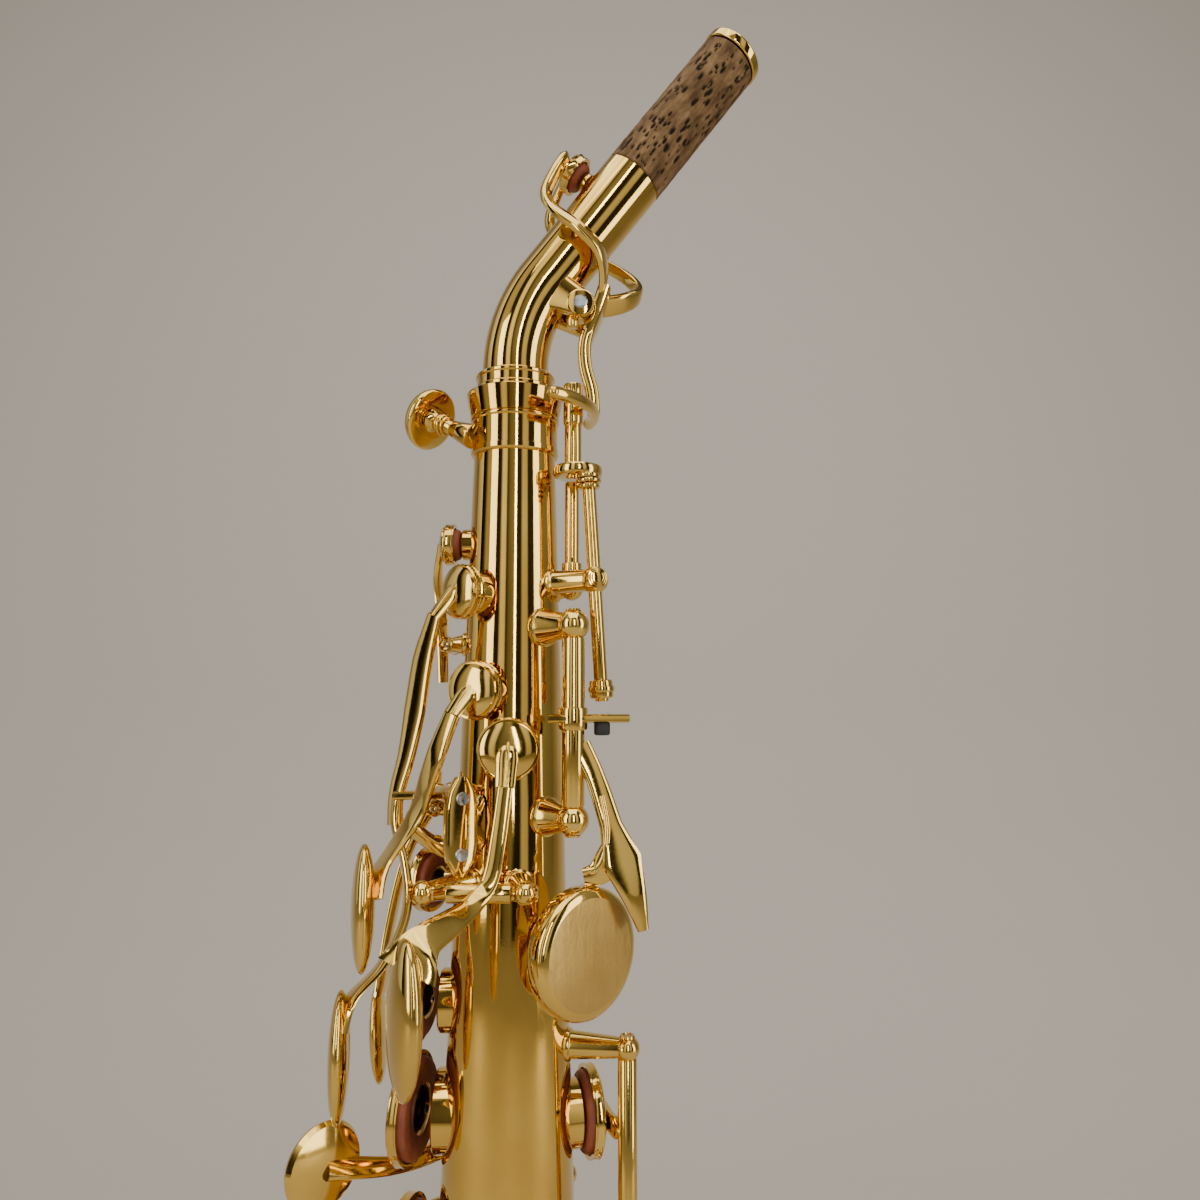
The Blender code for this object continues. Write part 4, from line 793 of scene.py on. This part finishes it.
lever = bmesh.new()
hinge_tube(lever, LEVER_AXIS + UP * (LEVER_POSTS[0] + 2.6), LEVER_AXIS + UP * (LEVER_POSTS[1] - 2.6), 2.3)
bar(lever, LEVER_AXIS + UP * 488.4, LEVER_AXIS + UP * 493.0, 2.9, soften=0.5)
arm(lever, [(8.4, -13.4, 490.7), (14.0, -13.0, 490.7), (24.0, -10.6, 490.7)],
    [4.0, 5.0, 4.2], 1.8, UP)
towards_left = Vector((0.3, -1.0, 0.0))
arm(lever, [(14.6, -13.2, 485.5), (17.8, -14.0, 479.0), (20.7, -14.8, 470.4),
            (22.8, -15.4, 463.8), (25.1, -15.4, 457.3), (26.8, -14.6, 450.8)],
    [4.5, 4.0, 4.5, 8.0, 5.0, 2.2], 1.8, towards_left)
arm(lever, [(21.6, -15.1, 465.0), (18.4, -15.3, 461.6), (15.4, -15.6, 460.8)],
    [7.0, 5.0, 3.0], 1.8, towards_left)
arm(lever, [(19.0, -15.2, 476.0), (19.9, -15.6, 471.0), (19.8, -15.9, 466.4),
            (18.2, -16.1, 462.6), (15.3, -16.3, 461.8)], [1.3, 1.5, 1.3], 1.3, towards_left, 0.0)
finish_piece(lever, "thumb_octave_lever", "octave_thumb_lever", KEY_GOLD, ["octave_thumb_lever"])


def rubber_material():
    """Moulded black rubber with a faint mottled surface."""
    made, tree, shader, place = new_material("bumper_rubber")
    mottle = add_node(tree, "TexNoise", {"Vector": place, "Scale": 1200.0}).outputs["Fac"]
    tint = mixed(tree, mottle, (0.006, 0.006, 0.007), (0.022, 0.021, 0.02))
    feed(tree, shader, {"Base Color": tint, "Roughness": 0.6})
    return made


RUBBER = rubber_material()
bumper = bmesh.new()
bar(bumper, Vector((19.0, -11.8, 487.4)), Vector((19.0, -11.8, 490.0)), 1.6, soften=0.4)
finish_piece(bumper, "lever_bumper", "octave_thumb_lever", RUBBER)


# Palm keys. Three short levers on the left side, their oval touches in the left palm; two turn on a
# lens-shaped double post, the third on a rod across the body.


def cup_top(name):
    phi, z, _ = TONE_HOLES[name]
    return around(phi, outer_radius(z) + CHIMNEY + CUP_ROOF + CUP_DOME * 0.85, z)


def palm_point(along, z):
    return PALM_PLATE + PALM_LINE * along + UP * z


def leaf(bm, name, first):
    """The pointed end of an arm, lying over the cup's dome with a ridge down its middle."""
    top, first = cup_top(name), Vector(first)
    pad_r = TONE_HOLES[name][2]
    out = around(TONE_HOLES[name][0], 1.0, 0.0)
    way = (top - first).normalized()
    beyond = top + way * pad_r * 0.62 - out * 0.7
    arm(bm, [first, top - way * pad_r * 0.4, top, beyond], [3.8, 4.2, 3.8, 0.7], 1.3, squareness=0.2)
    arm(bm, [first + out * 0.5, top + out * 0.7, beyond + out * 0.3], [0.9, 0.9, 0.4], 0.9, squareness=0.0)


plate = bmesh.new()
plate_face = frame_at(palm_point(0.0, (PALM_F_Z + PALM_E_FLAT_Z) / 2), -PALM_LINE)
for post_z in (PALM_F_Z, PALM_E_FLAT_Z):
    bar(plate, palm_point(-1.0, post_z), palm_point(1.0, post_z), 2.6, sides=36, soften=0.35)
rows = [plate_face @ Vector((0.0, y, 0.0)) for y in (-9.4, -6.6, -3.2, 3.2, 6.6, 9.4)]
arm(plate, rows, [2.2, 5.6, 6.6, 6.6, 5.6, 2.2], 2.2, -PALM_LINE, 0.55)
plate_out = Vector((PALM_PLATE.x, PALM_PLATE.y, 0.0)).normalized()
plate_low = plate_out * (cone_radius(470.2) + GAP) + UP * 470.2
arm(plate, [plate_low, plate_low + plate_out * 2.0, plate_face.translation], [11.0, 7.0, 6.0], 3.2,
    plate_out.cross(UP))
finish_piece(plate, "palm_double_post", "instrument", KEY_GOLD, ["palm_post_plate"])
plate_screws = bmesh.new()
for post_z in (PALM_F_Z, PALM_E_FLAT_Z):
    place = frame_at(palm_point(-1.1, post_z), -PALM_LINE)
    turn_profile(plate_screws, [(0.0, 0.15), (0.7, 0.15), (1.15, 0.3), (1.3, 0.1), (1.3, -0.4), (0.0,
                                                                                                 -0.4)], place, 24)
finish_piece(plate_screws, "palm_post_screws", "instrument", STEEL)

palm_f = bmesh.new()
hinge_tube(palm_f, palm_point(1.8, PALM_F_Z), palm_point(PALM_HINGE + 1.5, PALM_F_Z))
hole_cup(palm_f, "palm_f")
palm_f_way = [(-14.8, -10.4, 511.4), (-17.6, -8.0, 502.4), (-19.3, -6.5, 492.3),
              (-20.9, -6.0, 483.1), (-22.8, -6.0, 475.1), (-22.9, -6.2, 469.1),
              (-20.6, -7.0, 462.0), (-19.6, -8.0, 454.8), (-21.0, -9.0, 448.4),
              (-24.2, -11.0, 442.6), (-28.6, -13.8, 438.0), (-30.3, -15.0, 433.0)]
arm(palm_f, palm_f_way[:6], [3.8, 5.4, 5.8, 4.6, 3.8, 4.0], 1.5, Vector((-0.6, -0.8, 0.0)))
arm(palm_f, palm_f_way[4:], [4.0, 4.2, 3.6, 3.6, 4.0, 5.6, 9.0])
leaf(palm_f, "palm_f", palm_f_way[0])
arm(palm_f, [palm_point(6.4, PALM_F_Z), (-17.2, -7.6, 475.3), (-22.6, -6.0, 475.0)], [4.6, 3.6, 4.4],
    1.9, UP)
lens(palm_f, frame_at(Vector((-30.4, -15.0, 427.6)), Vector((-1, -0.15, 0))), 12.0, 24.5, 4.0)
finish_piece(palm_f, "palm_f_lever", "palm_f", KEY_GOLD, ["palm_f_key"])
hole_pad("palm_f", "palm_f")

palm_e_flat = bmesh.new()
hinge_tube(palm_e_flat, palm_point(1.8, PALM_E_FLAT_Z), palm_point(PALM_HINGE + 1.5, PALM_E_FLAT_Z))
hole_cup(palm_e_flat, "palm_e_flat")
palm_e_way = [(-9.9, -17.4, 491.6), (-12.4, -17.6, 485.0), (-14.8, -15.4, 478.8),
              (-17.2, -13.0, 472.4), (-20.2, -14.0, 467.4), (-23.4, -17.2, 462.0),
              (-25.0, -19.5, 457.5)]
arm(palm_e_flat, palm_e_way, [3.6, 4.6, 5.0, 5.6, 7.0, 14.0], 1.4)
leaf(palm_e_flat, "palm_e_flat", palm_e_way[0])
arm(palm_e_flat, [palm_point(3.4, PALM_E_FLAT_Z), (-14.0, -12.6, 466.6), (-18.0, -13.4, 469.6)],
    [3.6, 3.4, 4.0], 1.9)
lens(palm_e_flat, frame_at(Vector((-25.4, -20.0, 456.0)), Vector((-1, -0.25, 0))), 12.0, 23.5, 4.4)
finish_piece(palm_e_flat, "palm_e_flat_lever", "palm_e_flat", KEY_GOLD, ["palm_e_flat_key"])
hole_pad("palm_e_flat", "palm_e_flat")

palm_d = bmesh.new()
hinge_tube(palm_d, PALM_D_HINGE + Vector((PALM_D_X[0] + 4.6, 0, 0)),
           PALM_D_HINGE + Vector((PALM_D_X[1] - 2.7, 0, 0)))
hole_cup(palm_d, "palm_d")
palm_d_way = [(0.7, -19.6, 478.0), (-0.3, -20.8, 469.0), (-1.8, -21.4, 461.0),
              (-4.6, -24.8, 457.4), (-7.4, -30.0, 455.8), (-11.2, -35.8, 453.8),
              (-13.4, -37.9, 449.8)]
palm_d_face = Vector((0.0, -1.0, 0.35))
arm(palm_d, palm_d_way, [3.0, 3.2, 3.4, 4.4, 6.0, 11.0], 1.5, palm_d_face)
leaf(palm_d, "palm_d", palm_d_way[0])
arm(palm_d, [(-2.0, -18.0, 459.0), (-2.0, -20.0, 459.6), (-2.0, -22.0, 460.0)],
    [5.0, 4.6, 4.0], 2.4, UP)
lens(palm_d, frame_at(Vector((-13.6, -38.0, 442.3)), Vector((-0.86, -0.5, 0))), 12.5, 26.0, 5.0)
finish_piece(palm_d, "palm_d_lever", "palm_d", KEY_GOLD, ["palm_d_key"])
hole_pad("palm_d", "palm_d")


# Body octave key and front F key, on small hinges across the front of the body.

octave_key = bmesh.new()
hinge_tube(octave_key, OCTAVE_HINGE - across * 2.8, OCTAVE_HINGE + across * 2.8, 1.7)
hole_cup(octave_key, "octave")
arm(octave_key, [cup_top("octave"), (-16.8, 3.2, 521.0), (-16.2, 5.0, 512.0),
                 (-15.6, 5.2, 498.0)], [2.0, 3.2, 4.0, 3.2], 1.6)
finish_piece(octave_key, "body_vent_key", "body_octave", KEY_GOLD, ["body_octave_key"])
hole_pad("octave", "body_octave")

front_f = bmesh.new()
hinge_tube(front_f, FRONT_F_HINGE - across * 2.8, FRONT_F_HINGE + across * 2.8, 1.7)
arm(front_f, [(-16.2, 3.0, 479.0), (-17.0, 3.0, 472.0), (-22.0, 2.8, 462.0),
              (-25.2, 2.4, 448.0), (-26.8, 2.2, 434.0)], [3.4, 4.4, 4.0, 4.0, 7.0])
lens(front_f, frame_at(Vector((-27.0, 2.0, 426.0)), Vector((-1, 0, -0.06))), 11.0, 20.0, 3.0)
finish_piece(front_f, "front_f_lever", "front_f", KEY_GOLD, ["front_f_key"])


# Stack, side and little-finger keys. Each is a hinge tube along the body with a cup on one arm and a
# touch on another; the stack keys stand open and carry finger dishes with mother-of-pearl.


def pearl_material():
    """Mother-of-pearl: a milky white with drifting pink and green clouds under gloss."""
    made, tree, shader, place = new_material("mother_of_pearl")
    wave = add_node(tree, "TexNoise", {"Vector": place, "Scale": 240.0, "Distortion": 2.5}).outputs["Fac"]
    stops = [(0.3, (0.62, 0.60, 0.55)), (0.5, (0.83, 0.74, 0.72)), (0.7, (0.86, 0.87, 0.80))]
    feed(tree, shader, {"Roughness": 0.16, "Coat Weight": 0.6, "Base Color": colour_ramp(tree, wave, stops)})
    return made


PEARL = pearl_material()


def key_arm(bm, phi, r, z, name, width=3.8):
    """An arm from the hinge tube over the cup, ending in a point beyond the cup's middle."""
    cup_phi, _, pad_r = TONE_HOLES[name]
    top = CUP_ROOF + CUP_DOME
    toward = -1 if phi < cup_phi else 1
    start, place = around(phi, r, z), hole_seat(name)
    rim = place @ Vector((toward * (pad_r + 0.5), 0.0, top + 0.7))
    middle = (start + rim) / 2 + around((phi + cup_phi) / 2, 1.6, 0.0)
    crown, end = place @ Vector((0.0, 0.0, top + 0.2)), place @ Vector((-toward * pad_r * 0.55, 0.0,
                                                                        top - 0.4))
    arm(bm, [start, middle, rim, crown, end], [width + 1.6, width, width + 0.4, width + 0.6, 0.8], 1.6)


DISH_R = 8.0


def dish_touch(bm, phi, r, z, dish_phi, dish_r, dish_z, facing=None):
    """A finger dish on an arm; its pearl is a piece of its own. A facing dish looks its own way."""
    centre = around(dish_phi, dish_r, dish_z)
    out = around(dish_phi if facing is None else facing, 1.0, 0.0)
    place = frame_at(centre, out)
    rim = [(DISH_R - 1.7, 0.4), (DISH_R - 1.4, 1.15), (DISH_R - 0.8, 1.4), (DISH_R - 0.2, 1.15), (DISH_R,
                                                                                                  0.5)]
    turn_profile(bm, [(0.0, 0.3), *rim, (DISH_R - 0.6, -0.5), (4.0, -1.1), (0.0, -1.2)], place, steps=64)
    start, end = around(phi, r, z), place @ Vector((0, 0, -0.9))
    middle = (start + end) / 2 + (around(dish_phi, 1.5, 0.0) if facing is None else -out)
    middle.z = z + (dish_z - z) * 0.25
    arm(bm, [start, middle, end], [4.8, 3.4, 4.4])
    pearl = bmesh.new()
    turn_profile(pearl, [(0.0, 1.5), (3.0, 1.4), (5.0, 1.15), (6.0, 0.8), (6.2, 0.45), (0.0, 0.45)], place,
                 steps=56)
    return pearl


def plate_touch(bm, phi, r, z, touch_phi, touch_r, touch_z, width, height, bow=3.0):
    middle = around((phi + touch_phi) / 2, (r + touch_r) / 2 + bow, (z + touch_z) / 2)
    arm(bm, [around(phi, r, z), middle, around(touch_phi, touch_r, touch_z)], [4.2, 3.4, 4.4])
    lens(bm, seat(touch_phi, touch_r, touch_z), width, height, 2.6)


def lift_turn(pivot, name, lift):
    """Signed turn about +Z at the pivot that lifts a cup by the given distance."""
    place = hole_seat(name)
    reach = place.translation - pivot
    out = place.col[2].xyz
    return lift / (reach.x * out.y - reach.y * out.x)


POST_CLEAR = 1.8


def long_key(name, hinge, span, lift, arm_z, dish=None, plate=None, is_open=False):
    """A key on a hinge along the body, with its pad and pearl."""
    phi, r, *ends = HINGES[hinge]
    low, high = span
    for post_z in ends:
        low = post_z + POST_CLEAR if 0 < low - post_z < 4 else low
        high = post_z - POST_CLEAR if 0 < post_z - high < 4 else high
    pivot = around(phi, r, low)
    turned = None
    if is_open:
        about = Matrix.Translation(pivot)
        turned = about @ Matrix.Rotation(lift_turn(pivot, name, lift), 4, "Z") @ about.inverted()
    key = bmesh.new()
    hinge_tube(key, pivot, around(phi, r, high))
    hole_cup(key, name)
    key_arm(key, phi, r, arm_z, name)
    pearl = dish_touch(key, phi, r, *dish) if dish else None
    if plate:
        plate_touch(key, phi, r, *plate)
    for made in (key, pearl):
        if made and turned:
            bmesh.ops.transform(made, matrix=turned, verts=made.verts)
    finish_piece(key, name + "_lever", name, KEY_GOLD, [name + "_key"])
    if pearl:
        finish_piece(pearl, name + "_pearl", name, PEARL)
    hole_pad(name, name, turned)


long_key("c", "upper_high", (437.2, 462.6), 2.4, 457.0, is_open=True)
long_key("bis", "upper_high", (412.4, 436.8), 2.6, 431.0, is_open=True)
long_key("b", "upper_high", (396.0, 412.0), 2.8, 408.0, (399.0, -65, 31.9, 405.8, -121), is_open=True)
long_key("a", "upper_low", (365.4, 390.0), 2.8, 386.0, (368.8, -65, 32.2, 375.5, -121), is_open=True)
long_key("g", "upper_low", (336.0, 365.0), 2.8, 360.0, (338.8, -65, 32.6, 345.0, -121), is_open=True)
long_key("f_sharp", "lower_high", (297.2, 314.1), 2.8, 305.0, is_open=True)
long_key("f", "lower_high", (254.9, 296.8), 2.9, 276.0, (262.0, -59, 39.0, 270.0), is_open=True)
long_key("e", "lower_low", (222.2, 249.1), 2.9, 243.0, (228.5, -59, 40.0, 236.0), is_open=True)
long_key("d", "lower_low", (185.9, 221.8), 2.9, 212.0, (193.0, -59, 41.0, 201.0), is_open=True)
long_key("side_c", "side_c", (337.0, 422.1), 2.6, 411.0, plate=(346.0, 122, 31.0, 346.0, 8.0, 20.0))
long_key("side_b_flat", "side_b_flat", (309.0, 387.1), 2.6, 379.0, plate=(320.0, 128, 31.0, 320.0, 8.0, 20.0))
long_key("high_e", "high_e", (365.0, 481.1), 2.4, 474.0, plate=(373.0, 131, 31.0, 372.0, 8.0, 20.0, 5.0))
long_key("high_f_sharp", "high_f_sharp", (331.0, 511.1), 2.2, 506.0,
         plate=(336.0, 248, 33.0, 333.0, 7.0, 15.0))
long_key("g_sharp", "g_sharp", (306.9, 343.1), 2.6, 328.0, plate=(309.0, -29, 38.0, 306.0, 11.0, 12.0))
long_key("low_c_sharp", "low_c_sharp", (124.9, 295.1), 3.0, 131.0, plate=(288.0, -9, 39.0, 306.0, 11.0, 12.0))
long_key("low_b_flat", "low_b_flat", (56.9, 295.1), 3.0, 64.0, plate=(288.0, 9.5, 39.0, 306.0, 11.0, 12.0),
         is_open=True)
long_key("low_b", "low_b", (88.9, 295.1), 3.0, 92.5, plate=(288.0, 29, 39.0, 306.0, 11.0, 12.0), is_open=True)
long_key("low_c", "low_c", (148.9, 183.1), 3.0, 158.0, plate=(179.0, -77, 38.0, 179.0, 10.0, 9.0),
         is_open=True)
long_key("low_e_flat", "low_e_flat", (152.9, 189.1), 2.8, 166.0, plate=(181.0, -101, 38.0, 179.0, 10.0, 9.0,
                                                                        2.0))


# Thumb rest, thumb hook and strap ring, soldered to the back of the body. The rest's face is brushed.

SATIN = metal("satin_lacquered_brass", (0.60, 0.40, 0.12), (0.42, 0.26, 0.07), 0.40, coat=0.1, bump=0.35)

rest = bmesh.new()
rest_place = seat(43, cone_radius(447.1) + GAP, 447.1)
rest_side = [(10.2, 12.9), (11.3, 12.7), (12.0, 12.1), (12.2, 11.4), (12.2, 9.2), (11.8, 8.3), (9.0, 7.6),
             (5.0, 7.2),
             (3.6, 6.4), (3.3, 4.0), (3.6, 1.8), (4.4, 0.6), (0.0, 0.4)]
turn_profile(rest, rest_side, rest_place, steps=96)
finish_piece(rest, "thumb_rest_body", "instrument", KEY_GOLD, ["thumb_rest"])
rest_face = bmesh.new()
turn_profile(rest_face, [(0.0, 13.2), (6.0, 13.1), (9.4, 12.97), (10.3, 12.9), (10.3, 12.6), (0.0, 12.6)],
             rest_place,
             steps=96)
finish_piece(rest_face, "thumb_rest_face", "instrument", SATIN)

hook = bmesh.new()
hook_phi, hook_z = 92, 252.0
hook_r = outer_radius(hook_z) + GAP + 0.2
hook_plate = [seat(hook_phi, hook_r + 1.0, hook_z + z).translation for z in (-11.0, -7.0, 0.0, 7.0, 11.0)]
arm(hook, hook_plate, [6.0, 10.0, 10.0, 10.0, 6.0], 1.6, around(hook_phi, 1.0, 0.0))
hook_way = [around(hook_phi, hook_r + 1.0, hook_z + 6.0), around(hook_phi, hook_r + 9.0, hook_z + 7.0),
            around(hook_phi, hook_r + 17.0, hook_z + 3.0), around(hook_phi, hook_r + 18.0, hook_z - 6.0)]
arm(hook, hook_way, [8.0, 10.0, 12.0, 9.0], 2.0, Vector((-0.2, 0.0, 1.0)))
finish_piece(hook, "right_thumb_hook", "instrument", SATIN, ["thumb_hook"])

strap_ring = bmesh.new()
ring_r = outer_radius(296.0) + GAP + 0.2
foot_rows = [seat(92, ring_r + 0.8, 296.0 + z).translation for z in (-7.0, -4.0, 0.0, 4.0, 7.0)]
arm(strap_ring, foot_rows, [4.0, 7.0, 7.0, 7.0, 4.0], 1.4, around(92, 1.0, 0.0))
loop_place = seat(92, ring_r + 6.6, 296.0) @ Matrix.Rotation(math.radians(90), 4, "Y")
loop = [(4.5 + 1.1 * math.cos(a), 1.1 * math.sin(a)) for a in (math.tau * i / 16 for i in range(17))]
turn_profile(strap_ring, loop, loop_place, steps=48)
finish_piece(strap_ring, "strap_eye", "instrument", KEY_GOLD, ["strap_ring"])


# Key guards over the low B and B flat cups: a bent wire on two feet, with a bumper screwed in its top.


def guard(name, hole):
    phi, z, pad_r = TONE_HOLES[hole]
    reach = pad_r + 3.4
    top = outer_radius(z) + CHIMNEY + PAD_THICK + CUP_DOME + 10.5
    feet = []
    for side in (-1, 1):
        foot_z = z + side * reach
        feet.append(around(phi, outer_radius(foot_z - 2.3) + GAP + 0.6, foot_z))
    way = [feet[0], around(phi, top - 4.0, z - reach), around(phi, top, z - reach * 0.6), around(phi, top, z),
           around(phi, top, z + reach * 0.6), around(phi, top - 4.0, z + reach), feet[1]]
    made = bmesh.new()
    arm(made, way, [2.6, 2.6], 2.6, across, squareness=0.0)
    bar(made, around(phi, top - 1.2, z), around(phi, top + 1.4, z), 4.6, sides=40, soften=0.6)
    for foot in feet:
        rows = [foot + UP * step for step in (-2.3, -1.2, 0.0, 1.2, 2.3)]
        arm(made, rows, [3.6, 5.6, 6.0, 5.6, 3.6], 1.0, around(phi, 1.0, 0.0))
    finish_piece(made, name + "_wire", "instrument", KEY_GOLD, [name])
    felt = bmesh.new()
    bar(felt, around(phi, top - 1.6, z), around(phi, top - 1.1, z), 3.6, sides=32, soften=0.15)
    finish_piece(felt, name + "_bumper", "instrument", RUBBER)


guard("low_b_guard", "low_b")
guard("low_b_flat_guard", "low_b_flat")


# Floor, backdrop, lights and camera.


def backdrop_material():
    made = bpy.data.materials.new("pale_backdrop")
    made.use_nodes = True
    shader = made.node_tree.nodes["Principled BSDF"]
    shader.inputs["Base Color"].default_value = (0.56, 0.52, 0.47, 1)
    shader.inputs["Roughness"].default_value = 0.9
    return made


sweep = bmesh.new()
cove = [Vector((0.0, -2.2, 0.0)), Vector((0.0, 0.6, 0.0))]
cove += [Vector((0.0, 0.6 + 0.5 * math.sin(a), 0.5 - 0.5 * math.cos(a))) for a in (0.3, 0.6, 0.9, 1.2, 1.57)]
cove.append(Vector((0.0, 1.1, 2.4)))
row = [sweep.verts.new(point + Vector((-3.0, 0.0, 0.0))) for point in cove]
edges = [sweep.edges.new(pair) for pair in zip(row, row[1:])]
made = bmesh.ops.extrude_edge_only(sweep, edges=edges)
moved = [v for v in made["geom"] if isinstance(v, bmesh.types.BMVert)]
bmesh.ops.translate(sweep, verts=moved, vec=Vector((6.0, 0.0, 0.0)))
floor = place_object(sweep, "floor")
floor.data.shade_smooth()
floor.data.materials.append(backdrop_material())


def area_light(name, at, target, size, height, power):
    data = bpy.data.lights.new(name, "AREA")
    data.shape = "RECTANGLE"
    data.size, data.size_y = size, height
    data.energy = power
    data.color = (1.0, 0.97, 0.93)
    light = bpy.data.objects.new(name, data)
    light.location = at
    light.rotation_euler = (Vector(target) - Vector(at)).to_track_quat("-Z", "Y").to_euler()
    bpy.context.scene.collection.objects.link(light)


area_light("left_box", (-1.1, -0.9, 0.8), (0, 0, 0.45), 0.45, 1.3, 8)
area_light("right_box", (1.2, -0.5, 0.7), (0, 0, 0.45), 0.4, 1.3, 7)
area_light("top", (0.0, -0.3, 1.7), (0, 0, 0.4), 1.2, 1.2, 11)
area_light("front_strip", (0.22, -1.3, 0.85), (0, 0, 0.45), 0.10, 1.0, 5)


def studio_world():
    """Plain pale behind the object; soft panels with dark gaps all round for the metal to mirror."""
    made = bpy.data.worlds.new("studio")
    made.use_nodes = True
    tree = made.node_tree
    place = add_node(tree, "TexCoord", {}).outputs["Generated"]
    parts = add_node(tree, "SeparateXYZ", {"Vector": place}).outputs
    turn = add_node(tree, "Math", {0: parts["Y"], 1: parts["X"]}, operation="ARCTAN2").outputs["Value"]
    share = add_node(tree, "MapRange", {"Value": turn, "From Min": -math.pi, "From Max": math.pi})
    heights = {"Value": parts["Z"], "From Min": -0.7, "From Max": 0.7, "To Min": 0.35, "To Max": 1.25}
    fade = add_node(tree, "MapRange", heights).outputs["Result"]
    panels = add_node(tree, "ValToRGB", {"Fac": share.outputs["Result"]})
    steps = panels.color_ramp.elements
    for where, glow in ((0.03, 0.02), (0.055, 0.5), (0.115, 0.45), (0.13, 0.02), (0.165, 0.03), (0.18, 1.2),
                        (0.205, 1.1), (0.215, 0.04), (0.235, 0.22), (0.265, 0.30), (0.28, 0.02), (0.315,
                                                                                                  0.03),
                        (0.33, 0.8), (0.36, 0.7), (0.37, 0.03), (0.42, 0.05), (0.45, 0.35), (0.56, 0.2),
                        (0.60, 0.03), (0.75, 0.12), (0.92, 0.25)):
        steps.new(where).color = (glow, glow * 0.95, glow * 0.84, 1)
    bands = tree.nodes["Background"]
    feed(tree, bands, {"Color": panels.outputs["Color"], "Strength": fade})
    plain = add_node(tree, "Background", {"Color": (0.50, 0.47, 0.43, 1)}).outputs["Background"]
    seen = add_node(tree, "LightPath", {}).outputs["Is Camera Ray"]
    either = add_node(tree, "MixShader", {"Fac": seen, 1: bands.outputs["Background"], 2: plain})
    feed(tree, tree.nodes["World Output"], {"Surface": either.outputs["Shader"]})
    return made


bpy.context.scene.world = studio_world()

camera_data = bpy.data.cameras.new("camera")
camera_data.lens = 27.0
camera_data.sensor_width = 36.0
camera = bpy.data.objects.new("camera", camera_data)
camera.location = (AXIS_X + 0.0186, -0.192, 0.4954)
camera.rotation_euler = (math.radians(96.0), 0.0, 0.0)
camera_data.clip_start = 0.01
bpy.context.scene.collection.objects.link(camera)
bpy.context.scene.camera = camera
